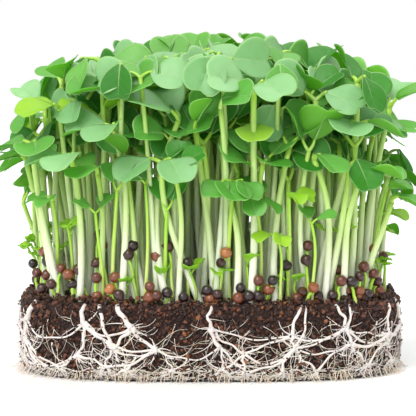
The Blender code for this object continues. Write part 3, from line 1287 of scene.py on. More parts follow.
@dataclass(frozen=True)
class SproutMaker:
    """Builds a sprout's stem, stalks and blades.

    base is the height of the stems' feet. Shares and swells are parts of a stem's radius, and the sizes of
    the notch, the heel and the groove along the midrib parts of a blade's half length or half width. A
    pair of numbers is the least and the most. lit_depth is how far from the stand's middle a blade turns
    fully outwards.
    """

    base: float
    stem_radius: float = 1.15 * MM
    stem_steps: int = 18
    stem_sides: int = 10
    tip_share: float = 0.72
    foot_swell: float = 0.12
    fork_swell: float = 0.10
    wander: float = 0.5
    stalk_length: float = 4.5 * MM
    stalk_climb: float = 50.0
    stalk_steps: int = 8
    stalk_sides: int = 8
    stalk_tone: float = 0.2
    stalk_green: float = 0.8
    droop: float = 24.0
    leaf_thickness: float = 0.32 * MM
    rings: int = 5
    spokes: int = 32
    taper: float = 0.18
    notch: Point = (0.20, 0.32)
    notch_width: float = 0.32
    heel: float = 0.14
    heel_width: float = 0.3
    groove: float = 0.06
    groove_width: float = 0.09
    cup: Point = (0.05, 0.30)
    fold: Point = (0.02, 0.22)
    ripple: Point = (0.1, 0.5)
    midrib: float = 0.30 * MM
    midrib_reach: float = 0.78
    lit_depth: float = 50 * MM

    def stem(self, mould: Mould, sprout: Sprout, dice: random.Random) -> None:
        """Adds the stem, a little swollen at its foot and at its fork.

        Args:
            mould: where it goes.
            sprout: the sprout.
            dice: the source of its unevenness.
        """
        radius = self.stem_radius * sprout.girth
        wander = Vector((dice.uniform(-1, 1), dice.uniform(-1, 1), 0.0)) * self.wander * MM
        course = [sprout.stem_at(-0.03, self.base)]
        sizes = [radius * (1 + self.foot_swell)]
        for i in range(self.stem_steps + 1):
            share = i / self.stem_steps
            course.append(sprout.stem_at(share, self.base) + wander * math.sin(math.tau * share))
            foot_swell = self.foot_swell * math.exp(-share * 14)
            swell = 1 + foot_swell + self.fork_swell * math.exp(-(1 - share) * 22)
            sizes.append(radius * (1 + (self.tip_share - 1) * share) * swell)
        mould.tube(course, sizes, self.stem_sides, sprout.tone)

    def stalks(self, mould: Mould, sprout: Sprout) -> None:
        """Adds the two leaf stalks, which start inside the stem's tip.

        Args:
            mould: where they go.
            sprout: the sprout.
        """
        radius = self.stem_radius * sprout.girth * self.tip_share
        length = self.stalk(sprout)
        tone = min(1.0, sprout.tone + self.stalk_tone)
        sunk = UP * radius * 0.8
        for side in (-1, 1):
            course = [self.leaf_place(sprout, side, 0.0) - sunk]
            sizes = [radius * 0.92]
            for k in range(self.stalk_steps + 1):
                share = k / self.stalk_steps
                course.append(self.leaf_place(sprout, side, length * share))
                sizes.append(radius * (0.92 - 0.34 * share))
            mould.tube(course, sizes, self.stalk_sides, tone, start=self.stalk_green)

    def stalk(self, sprout: Sprout) -> float:
        """The length of a sprout's leaf stalks."""
        return self.stalk_length * min(1.0, sprout.blade / 10.0)

    def leaf_place(self, sprout: Sprout, side: int, reach: float) -> Vector:
        """A point on a leaf's stalk.

        Args:
            sprout: the sprout.
            side: 1 or -1, which leaf it is.
            reach: how far out from the stem's tip.

        Returns:
            The point.
        """
        place = sprout.stem_at(1.0, self.base)
        steps = 12
        for i in range(steps):
            outward, slope = self.leaf_course(sprout, side, reach * (i + 0.5) / steps)
            place += (outward * math.cos(slope) + UP * math.sin(slope)) * (reach / steps)
        return place

    def leaf_course(self, sprout: Sprout, side: int, reach: float) -> tuple[Vector, float]:
        """The way a leaf's stalk heads.

        Args:
            sprout: the sprout.
            side: 1 or -1, which leaf it is.
            reach: how far out from the stem's tip.

        Returns:
            The level way that it heads and its slope, in radians.
        """
        turned = min(1.0, reach / self.stalk(sprout))
        swing = 90 + (sprout.spread / 2 - 90) * turned
        slope = self.stalk_climb + (sprout.climb - self.stalk_climb) * turned
        return compass(sprout.heading + side * swing), math.radians(slope)

    def blade_axes(self, sprout: Sprout, side: int, dice: random.Random) -> tuple[Vector, ...]:
        """How a blade stands, turned outwards to the light and rolled a little.

        Args:
            sprout: the sprout.
            side: 1 or -1, which leaf it is.
            dice: the source of its roll.

        Returns:
            The point where it starts, and the ways its length, its width and its upper face point.
        """
        stalk = self.stalk(sprout)
        foot = self.leaf_place(sprout, side, stalk)
        outward, slope = self.leaf_course(sprout, side, stalk)
        ahead = outward * math.cos(slope) + UP * math.sin(slope)
        rise = UP * math.cos(slope) - outward * math.sin(slope)
        light = Vector((foot.x, foot.y * 1.4, 0.0))
        lean = math.radians(sprout.lean) * min(1.0, light.length / self.lit_depth)
        light.normalize()
        nod = Matrix.Rotation(-lean * ahead.dot(light), 3, ahead.cross(rise))
        ahead, rise = nod @ ahead, nod @ rise
        roll = math.radians(dice.uniform(-sprout.roll, sprout.roll)) + lean * ahead.cross(rise).dot(light)
        beside = Matrix.Rotation(roll, 3, ahead) @ ahead.cross(rise)
        return foot, ahead, beside, beside.cross(ahead)

    def blade_outline(self, angle: float, notch: float) -> tuple[float, float]:
        """The blade's outline in one direction: notched at its tip and drawn out at its heel.

        Args:
            angle: the direction from the blade's middle, 0 towards its tip.
            notch: how deep the notch is, as a share of half the blade's length.

        Returns:
            How far ahead and how far aside it lies, in half lengths and half widths.
        """
        near = abs((angle + math.pi) % math.tau - math.pi)
        shape = 1 - notch * math.exp(-((near / self.notch_width) ** 2))
        shape += self.heel * math.exp(-(((math.pi - near) / self.heel_width) ** 2))
        return math.cos(angle) * shape, math.sin(angle) * shape

    def blade_faces(self) -> list[tuple[int, ...]]:
        """The faces of a blade's closed shell, by point.

        Returns:
            The faces, for the upper points from the middle outwards and then the lower ones.
        """
        count = 1 + self.rings * self.spokes
        rim = count - self.spokes
        faces: list[tuple[int, ...]] = []
        for k in range(self.spokes):
            m = (k + 1) % self.spokes
            faces.append((0, 1 + m, 1 + k))
            faces.append((count, count + 1 + k, count + 1 + m))
            for a in range(1, rim, self.spokes):
                b = a + self.spokes
                faces.append((a + k, a + m, b + m, b + k))
                faces.append((count + a + k, count + b + k, count + b + m, count + a + m))
            faces.append((rim + k, rim + m, count + rim + m, count + rim + k))
        return faces

    def blade(self, mould: Mould, sprout: Sprout, side: int, dice: random.Random) -> None:
        """Adds one heart-shaped blade as a thin closed leaf, and its midrib.

        Args:
            mould: where it goes.
            sprout: the sprout.
            side: 1 or -1, which leaf it is.
            dice: the source of its size, cup, fold and ripple.
        """
        length = sprout.blade * MM * dice.uniform(0.96, 1.04)
        half = length * 0.5 * dice.uniform(0.98, 1.10)
        foot, ahead, beside, rise = self.blade_axes(sprout, side, dice)
        cup, fold = dice.uniform(*self.cup), dice.uniform(*self.fold)
        ripple, phase = dice.uniform(*self.ripple) * MM, dice.uniform(0, math.tau)
        notch = dice.uniform(*self.notch)
        drop = math.radians(self.droop) * 0.5
        crease = 0.08 * half
        upper, lower, spread, rim = [], [], [], []

        def place(x: float, y: float, ring: float, angle: float) -> None:
            """Adds the points of both faces at one place on the blade.

            Args:
                x: how far along the blade it is.
                y: how far beside the midrib.
                ring: how near the edge, from 0 to 1.
                angle: its direction from the blade's middle.
            """
            aside = y / half
            lift = cup * half * aside**2 + fold * (math.hypot(y, crease) - crease)
            lift -= drop * length * (x / length) ** 2
            lift += ripple * ring**2 * math.sin(3 * angle + phase)
            hollow = math.exp(-((y / (self.groove_width * half)) ** 2))
            lift -= self.groove * half * hollow * (1 - ring * 0.6)
            middle = foot + ahead * x + beside * y + rise * lift
            thin = self.leaf_thickness * (1 - 0.55 * ring**4)
            upper.append(middle)
            lower.append(middle - rise * thin)
            spread.append((x / length, aside))
            rim.append(ring)

        place(length * 0.5, 0.0, 0.0, 0.0)
        for j in range(1, self.rings + 1):
            ring = 1 - (1 - j / self.rings) ** 1.25
            for k in range(self.spokes):
                angle = math.tau * k / self.spokes
                x, y = self.blade_outline(angle, notch)
                y = y * ring * (1 + self.taper * math.cos(angle))
                place(length * (0.52 + 0.5 * (x * ring)), half * y, ring, angle)
        under = [-max(r, 0.001) for r in rim]
        tone = min(1.0, max(0.0, sprout.tone + dice.uniform(-0.15, 0.15)))
        mould.add(upper + lower, self.blade_faces(), spread * 2, tone, rim + under)
        course, radii = [], []
        for k in range(9):
            share = self.midrib_reach * k / 8
            sag = drop * length * share**2 + self.leaf_thickness * 0.9 + self.groove * half
            course.append(foot + ahead * length * share - rise * sag)
            radii.append(self.midrib * length / (12 * MM) * (1 - share) + 0.05 * MM)
        mould.tube(course, radii, 6, tone, vein=True)

    def grow(
        self,
        stems_name: str,
        leaves_name: str,
        finish: Finish,
        sprouts: Sequence[Sprout],
        dice: random.Random,
    ) -> None:
        """Makes a group of sprouts: one piece for their stems and one for the leaves of each green.

        Args:
            stems_name: the name of the stems' piece.
            leaves_name: what the names of the leaves' pieces start with.
            finish: the stems' surface.
            sprouts: the sprouts.
            dice: the source of their unevenness.
        """
        stems = Mould()
        leaves = {green: Mould() for green in Green}
        for sprout in sprouts:
            self.stem(stems, sprout, dice)
            self.stalks(stems, sprout)
            for side in (-1, 1):
                self.blade(leaves[sprout.green], sprout, side, dice)
        report(stems.cast(stems_name, finish))
        for green, mould in leaves.items():
            if mould.points:
                report(mould.cast(f"{leaves_name}_{green.name.lower()}", green.value))


SEEDLINGS = (
    # The front row, from left to right.
    Sprout((-46, -26), (-54.5, -30, 71), (-1.0, 0), 11.5, 215, 120, 2, Green.FRESH),
    Sprout((-40, -31), (-41.5, -39, 67), (1.5, -1), 12.0, 217, 60, 8, Green.PALE),
    Sprout((-47, -16), (-46.5, -16, 90), (-2.0, 0), 10.5, 200, 150, 38, Green.FRESH),
    Sprout((-27, -36), (-29.0, -38, 76), (2.5, 0), 13.0, 210, 70, 6, Green.PALE),
    Sprout((-20, -33), (-34.5, -26, 80), (1.5, 0), 10.0, 250, 140, 30, Green.LIME),
    Sprout((-13, -37), (-9.5, -36, 79), (-5.0, 0), 14.0, 165, 60, 34, Green.PALE),
    Sprout((-3, -35), (-14.5, -41, 66), (-2.5, 0), 12.0, 250, 80, -8, Green.PALE),
    Sprout((8, -37), (4.0, -40, 59), (2.5, 0), 11.0, 328, 60, -2, Green.FRESH),
    Sprout((3, -30), (12.0, -33, 76), (-3.0, 0), 11.0, 200, 150, 4, Green.LIME),
    Sprout((20, -36), (24.0, -37, 71), (-2.0, 0), 13.0, 58, 80, 44, Green.FRESH),
    Sprout((35, -33), (31.5, -38, 67), (3.0, 0), 11.0, 10, 130, 0, Green.FRESH),
    Sprout((33, -29), (45.0, -32, 77), (-1.0, 0), 12.5, 302, 80, 4, Green.PALE),
    Sprout((41, -31), (46.0, -37, 62), (-2.0, 0), 11.0, 20, 85, 15, Green.FRESH),
    Sprout((48, -24), (56.0, -28, 54), (-1.0, 0), 10.5, 5, 75, 6, Green.FRESH),
    Sprout((49, -17), (56.5, -17, 83), (-2.0, 0), 11.5, 20, 75, 44, Green.PALE),
    # The taller middle of the stand.
    Sprout((-20, -12), (-18.0, -14, 87), (2.0, 0), 13.0, 245, 120, 36, Green.PALE),
    Sprout((-6, -6), (-5.5, -6, 96), (-1.5, 0), 11.5, 95, 130, 48, Green.FRESH),
    Sprout((15, -14), (14.5, -17, 86), (1.5, 0), 13.5, 265, 130, 28, Green.PALE),
    Sprout((31, -10), (29.0, -12, 91), (2.0, 0), 14.0, 75, 75, 52, Green.DEEP),
    # The back and the two ends.
    Sprout((-44, 10), (-50.0, 12, 80), (1.5, 0), 12.0, 190, 130, 20, Green.FRESH),
    Sprout((47, 12), (51.0, 14, 76), (-1.5, 0), 12.0, 345, 120, 18, Green.FRESH),
    Sprout((-31, 33), (-34.0, 39, 78), (0, 1.5), 12.0, 110, 130, 22, Green.PALE),
    Sprout((-5, 35), (-7.0, 41, 83), (0, 2.0), 12.5, 85, 130, 26, Green.FRESH),
    Sprout((22, 34), (23.0, 40, 77), (1.5, 1.0), 12.0, 95, 130, 18, Green.FRESH),
    Sprout((8, 14), (9.0, 15, 92), (0, 1.0), 12.0, 170, 150, 34, Green.FRESH),
)


# Seedlings that stand out of the others at the top and the front.
STANDOUTS = (
    Sprout((-8, -16), (-9.0, -14, 93), (1.5, 0), 12.5, 92, 62, 64, Green.FRESH, 0.95, 0.9),
    Sprout((4, -12), (5.5, -12, 91), (-1.0, 0), 12.0, 100, 50, 58, Green.FRESH, 0.95, 0.8),
    Sprout((17, -20), (17.5, -21, 84), (1.0, 0), 12.5, 80, 110, 48, Green.PALE, 1.0, 0.8),
    Sprout((-30, -22), (-31.0, -22, 86), (-1.5, 0), 13.0, 125, 50, 56, Green.PALE, 1.0, 0.6),
    Sprout((-21, -14), (-21.0, -10, 92), (1.0, 0), 12.5, 90, 66, 60, Green.DEEP, 0.95, 0.6),
    Sprout((-42, -22), (-46.5, -26, 82), (1.0, 0), 12.0, 188, 46, 12, Green.LIME, 0.9, 0.3),
    Sprout((46, -21), (50.5, -23, 74), (-1.0, 0), 12.0, 8, 52, 28, Green.FRESH, 0.95, 0.8),
    Sprout((45, -16), (48.5, -20, 81), (1.0, 0), 12.0, 92, 40, 66, Green.DEEP, 0.9, 0.7),
    Sprout((-38, -20), (-39.0, -19, 85), (0.8, 0), 11.5, 70, 60, 62, Green.DEEP, 0.9, 0.8),
    Sprout((-49, -22), (-57.0, -24, 66), (1.0, 0), 11.5, 175, 90, 20, Green.DEEP, 0.9, 0.5),
    Sprout((28, -30), (35.0, -34, 80), (-1.0, 0), 11.5, 60, 90, 46, Green.FRESH, 0.95, 0.6),
    Sprout((-2, -30), (-2.0, -36, 72), (1.2, 0), 12.0, 95, 80, 52, Green.DEEP, 0.95, 0.8),
    Sprout((14, -32), (16.0, -39, 66), (-1.2, 0), 11.5, 85, 100, 40, Green.FRESH, 0.9, 0.5),
    Sprout((-33, -31), (-34.0, -38, 63), (0.8, 0), 11.0, 190, 100, 14, Green.FRESH, 0.9, 0.9),
    Sprout((43, -24), (44.0, -34, 71), (1.0, 0), 12.0, 85, 80, 50, Green.DEEP, 0.95, 0.8),
    Sprout((-6, 36), (-3.0, 42, 70), (1.0, 0), 12.0, 270, 80, 50, Green.PALE, 0.95, 0.6),
    Sprout((24, 34), (30.0, 40, 68), (1.0, 0), 12.5, 262, 90, 46, Green.FRESH, 0.95, 0.7),
    Sprout((-26, 35), (-22.0, 41, 70), (1.0, 0), 12.0, 280, 100, 42, Green.PALE, 0.95, 0.7),
)


@dataclass(frozen=True)
class Stand:
    """All the seedlings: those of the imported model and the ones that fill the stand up.

    Lengths are in mm. The leaves reach up to top, which falls off towards the two ends and the two sides:
    each fall is how much, over what reach and how sharply. layer is the depth of the leaves below it.
    upright is how many pairs stand up, and turned_in how many of those at the edge face the middle.
    """

    outline: Outline
    maker: SproutMaker
    spacing: float = 5.35
    jitter: float = 0.36
    clear: float = 2.5
    foot_share: float = 0.91
    edge_share: float = 0.72
    top: float = 105.0
    end_fall: tuple[float, float, float] = (22.0, 66.0, 3.5)
    side_fall: tuple[float, float, float] = (10.0, 50.0, 2.4)
    layer: float = 27.0
    tries: int = 12
    scatter: float = 2.6
    blades: Point = (9.5, 13.8)
    low_blade: float = 0.18
    upright: float = 0.45
    turned_in: float = 0.72
    roll: float = 22.0
    lean: float = 58.0
    row_depth: float = 14.0
    seed: int = 29

    def ceiling(self, x: float, y: float) -> float:
        """The height that the leaves reach above a place, lower towards the ends and the sides.

        Args:
            x: the place's x.
            y: the place's y.

        Returns:
            The height.
        """
        fall, reach, power = self.end_fall
        height = self.top - fall * abs(x / reach) ** power
        fall, reach, power = self.side_fall
        return height - fall * abs(y / reach) ** power

    def crowns(self, sprout: Sprout) -> list[Vector]:
        """The middles of a sprout's two blades.

        Args:
            sprout: the sprout.

        Returns:
            The two places.
        """
        reach = 4 + sprout.blade / 2
        rise = UP * math.sin(math.radians(sprout.climb)) * sprout.blade / 2
        tip, half = Vector(sprout.tip), sprout.spread / 2
        return [tip + compass(sprout.heading + side * half) * reach + rise for side in (-1, 1)]

    def feet(self, dice: random.Random) -> list[Point]:
        """The places where the filling seedlings leave the block, on an uneven grid between the others.

        Args:
            dice: the source of their unevenness.

        Returns:
            The places, shuffled.
        """
        taken = [Vector((*s.foot, 0)) for s in SEEDLINGS + STANDOUTS]
        feet = []
        across = int(self.outline.half_width / MM / self.spacing) + 1
        deep = int(self.outline.half_depth / MM / self.spacing) + 1
        for i in range(-across, across + 1):
            for j in range(-deep, deep + 1):
                x = (i + 0.5 * (j % 2) + dice.uniform(-self.jitter, self.jitter)) * self.spacing
                y = (j + dice.uniform(-self.jitter, self.jitter)) * self.spacing
                near = min((Vector((x, y, 0)) - t).length for t in taken)
                if self.outline.share(x * MM, y * MM) < self.foot_share and near > self.clear:
                    feet.append((x, y))
                    taken.append(Vector((x, y, 0)))
        dice.shuffle(feet)
        return feet

    def filler(self, dice: random.Random, foot: Point, crowns: list[Vector]) -> Sprout:
        """The seedling for one place, with its leaves where there is most room.

        Args:
            dice: the source of its shape.
            foot: where it stands.
            crowns: the middles of the blades that are there already.

        Returns:
            The seedling.
        """
        best, room = None, -1.0
        outer = self.outline.share(foot[0] * MM, foot[1] * MM) > self.edge_share
        for _ in range(self.tries):
            x = foot[0] * dice.uniform(0.98, 1.12) + dice.gauss(0, self.scatter)
            y = foot[1] * dice.uniform(1.0, 1.18) + dice.gauss(0, self.scatter)
            depth = dice.random() ** 1.15
            blade = dice.uniform(*self.blades) * (1 - self.low_blade * depth)
            away = math.degrees(math.atan2(y * 1.5, x)) + dice.gauss(0, 60)
            heading = away if outer else dice.uniform(0, 360)
            if dice.random() < self.upright:
                climb, spread = dice.uniform(38, 74), dice.uniform(50, 120)
                heading = heading + 180 if outer and dice.random() < self.turned_in else heading
            else:
                climb, spread = dice.uniform(-26, 38), dice.uniform(80, 165)
            reach = 3.0 + blade * max(0.0, math.sin(math.radians(climb)))
            z = self.ceiling(x, y) - reach - depth * self.layer
            sprout = Sprout(
                foot=foot,
                tip=(x, y, z),
                sway=(dice.gauss(0, 1.6), dice.gauss(0, 1.3)),
                blade=blade,
                heading=heading,
                spread=spread,
                climb=climb,
                green=dice.choice(self.greens(depth)),
                girth=dice.uniform(0.72, 1.08),
                tone=dice.random(),
                roll=self.roll,
                lean=self.lean,
            )
            gap = min((c - d).length for c in self.crowns(sprout) for d in crowns)
            if gap > room:
                best, room = sprout, gap
        return best

    @staticmethod
    def greens(depth: float) -> tuple[Green, ...]:
        """The greens that leaves have under the top: painted shade, darker lower down, and painted sheen, the
        pale green mostly near the top.

        Args:
            depth: how deep they are in the layer of leaves, from 0 to 1.

        Returns:
            The greens, the commoner ones more than once.
        """
        # Painted light: the pale sheen green is commonest near the top, and the deep shaded green commonest
        # lower down.
        if depth < 0.35:
            return (Green.PALE, Green.PALE, Green.FRESH, Green.FRESH, Green.DEEP)
        if depth < 0.7:
            return (Green.PALE, Green.FRESH, Green.FRESH, Green.DEEP, Green.DEEP, Green.LIME)
        return (Green.FRESH, Green.DEEP, Green.DEEP)

    def build(self) -> None:
        """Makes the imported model's seedlings one by one and the others in plots."""
        dice = random.Random(self.seed)
        crowns: list[Vector] = []
        for number, sprout in enumerate(SEEDLINGS, 1):
            crowns += self.crowns(sprout)
            self.single(number, sprout, dice)
        plots: dict[str, list[Sprout]] = {"standing_out": list(STANDOUTS)}
        for sprout in STANDOUTS:
            crowns += self.crowns(sprout)
        for foot in self.feet(dice):
            sprout = self.filler(dice, foot, crowns)
            crowns += self.crowns(sprout)
            row = "front" if foot[1] < -self.row_depth else "back" if foot[1] > self.row_depth else "middle"
            side = "left" if foot[0] < 0 else "right"
            plots.setdefault(f"{row}_{side}", []).append(sprout)
        for name, sprouts in sorted(plots.items()):
            self.maker.grow(f"stems_{name}", f"leaves_{name}", STEM, sprouts, dice)
            LOG.info("%s: %d seedlings", name, len(sprouts))

    def single(self, number: int, sprout: Sprout, dice: random.Random) -> None:
        """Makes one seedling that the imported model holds.

        Args:
            number: its number there.
            sprout: the seedling.
            dice: the source of its unevenness.
        """
        mould = Mould()
        self.maker.stem(mould, sprout, dice)
        self.maker.stalks(mould, sprout)
        stem = mould.cast(f"sprout_stem_{number:02d}", STEM)
        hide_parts(f"stem_{number:02d}")
        report(stem)
        mould = Mould()
        for side in (-1, 1):
            self.maker.blade(mould, sprout, side, dice)
        leaves = mould.cast(f"sprout_leaves_{number:02d}", sprout.green.value)
        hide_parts(f"leaf_pair_{number:02d}")
        report(leaves)


# ---- Late sprouts and seeds ----


@dataclass(frozen=True)
class Seed:
    """A seed coat: where it is in mm, the way its beak points in degrees, its shade and its size."""

    place: Point
    heading: float
    tone: float
    size: float = 1.0


class Shade(Enum):
    """The shades that a seed coat can have."""

    BLACK = 0.12
    DARK = 0.34
    BROWN = 0.56
    RED = 0.74
    ORANGE = 0.95


# The front's seed coats, from left to right: x and height in mm, and shade.
FRONT_SEEDS = (
    (-56.4, 33.3, Shade.BLACK), (-55.2, 28.2, Shade.DARK), (-54.2, 31.2, Shade.BROWN),
    (-52.4, 26.4, Shade.DARK), (-52.2, 37.6, Shade.RED), (-51.2, 34.6, Shade.BLACK),
    (-51.0, 30.6, Shade.BROWN), (-49.0, 28.2, Shade.DARK), (-45.8, 33.2, Shade.BROWN),
    (-43.4, 31.6, Shade.RED), (-42.4, 28.6, Shade.BLACK), (-40.4, 33.2, Shade.DARK),
    (-34.0, 43.8, Shade.BLACK), (-32.8, 40.5, Shade.BROWN), (-34.8, 35.2, Shade.DARK),
    (-34.6, 30.8, Shade.BROWN), (-28.9, 31.0, Shade.RED), (-30.3, 27.6, Shade.ORANGE),
    (-27.6, 25.9, Shade.DARK), (-23.5, 40.6, Shade.BLACK), (-24.8, 38.0, Shade.DARK),
    (-16.4, 37.6, Shade.RED), (-12.6, 40.4, Shade.DARK), (-6.8, 35.5, Shade.BLACK),
    (-18.2, 28.6, Shade.BROWN), (-18.4, 25.4, Shade.RED), (-16.2, 25.9, Shade.BROWN),
    (-13.0, 26.6, Shade.BLACK), (-0.9, 27.3, Shade.BLACK), (2.2, 26.0, Shade.DARK),
    (0.0, 24.6, Shade.RED), (4.8, 38.7, Shade.ORANGE), (3.3, 35.6, Shade.DARK),
    (8.5, 25.1, Shade.RED), (9.3, 28.0, Shade.BLACK), (11.6, 25.8, Shade.BLACK),
    (14.7, 30.3, Shade.BROWN), (14.6, 25.6, Shade.BLACK), (17.7, 27.5, Shade.RED),
    (19.0, 30.4, Shade.BLACK), (23.2, 41.9, Shade.DARK), (23.2, 34.7, Shade.BLACK),
    (29.9, 40.5, Shade.BROWN), (29.3, 36.3, Shade.DARK), (28.0, 26.8, Shade.DARK),
    (26.5, 24.8, Shade.BROWN), (31.4, 28.1, Shade.ORANGE), (33.0, 25.4, Shade.BLACK),
    (37.4, 25.3, Shade.BLACK), (39.4, 32.8, Shade.BROWN), (40.1, 29.8, Shade.BROWN),
    (41.8, 27.0, Shade.RED), (43.2, 29.5, Shade.BLACK), (45.9, 26.2, Shade.RED),
    (47.6, 33.6, Shade.BROWN), (46.1, 30.9, Shade.DARK), (48.6, 25.3, Shade.BLACK),
    (50.9, 31.4, Shade.BROWN), (52.2, 28.8, Shade.DARK), (52.9, 25.8, Shade.RED),
    (51.4, 38.7, Shade.RED), (55.3, 35.6, Shade.BROWN), (41.6, 50.6, Shade.DARK),
)

# Buds that are about to open their leaves, at the front: x and height in mm, and length.
BUDS = (
    (-53.6, 35.6, 3.4), (-54.0, 43.5, 4.4), (-42.8, 44.0, 4.0), (-46.8, 38.5, 3.0), (-49.6, 26.8, 2.8),
    (-25.6, 28.6, 3.2), (-15.0, 31.2, 4.2), (-5.8, 32.4, 4.8), (2.0, 32.6, 4.2), (11.3, 34.6, 4.4),
    (21.4, 29.5, 2.6), (26.0, 29.8, 3.2), (52.6, 34.6, 4.0), (36.5, 44.6, 3.6), (44.2, 46.5, 3.4),
)

# The small seedlings between the front stems.
SMALL_SEEDLINGS = (
    Sprout((-47.5, -20), (-48.0, -33, 54.5), (0.5, 0), 7.2, 205, 80, 8, Green.FRESH, 0.62, 0.6, 30.0),
    Sprout((-43.0, -24), (-43.0, -36, 46.0), (0.8, 0), 4.4, 330, 100, 30, Green.LIME, 0.45, 0.7, 30.0),
    Sprout((-33.0, -33), (-34.5, -40, 51.0), (0.6, 0), 6.0, 110, 130, 40, Green.FRESH, 0.5, 0.9, 30.0),
    Sprout((-29.0, -33), (-28.0, -40, 58.0), (-0.8, 0), 7.4, 60, 80, 58, Green.FRESH, 0.6, 0.4, 20.0),
    Sprout((-20.0, -36), (-19.5, -41, 60.0), (0.9, 0), 5.4, 150, 100, 24, Green.PALE, 0.5, 0.7, 30.0),
    Sprout((-15.0, -33), (-13.0, -41, 52.0), (0.5, 0), 8.0, 80, 50, 66, Green.DEEP, 0.6, 1.0, 10.0),
    Sprout((6.0, -34), (7.0, -42, 60.0), (-0.8, 0), 8.6, 265, 66, -12, Green.FRESH, 0.65, 0.5, 10.0),
    Sprout((15.5, -33), (13.5, -41, 55.0), (1.0, 0), 7.0, 310, 60, -20, Green.FRESH, 0.6, 0.3, 30.0),
    Sprout((23.5, -33), (23.8, -41, 56.0), (0.5, 0), 6.4, 330, 56, 4, Green.LIME, 0.5, 0.3, 20.0),
    Sprout((21.5, -37), (20.2, -42, 44.0), (0.7, 0), 6.0, 240, 60, -4, Green.LIME, 0.45, 0.8, 20.0),
    Sprout((31.0, -36), (30.5, -42, 48.0), (0.9, 0), 6.2, 45, 120, 30, Green.FRESH, 0.5, 0.6, 30.0),
    Sprout((50.0, -20), (54.5, -26, 57.0), (-0.8, 0), 7.0, 350, 50, 24, Green.FRESH, 0.6, 0.8, 20.0),
)


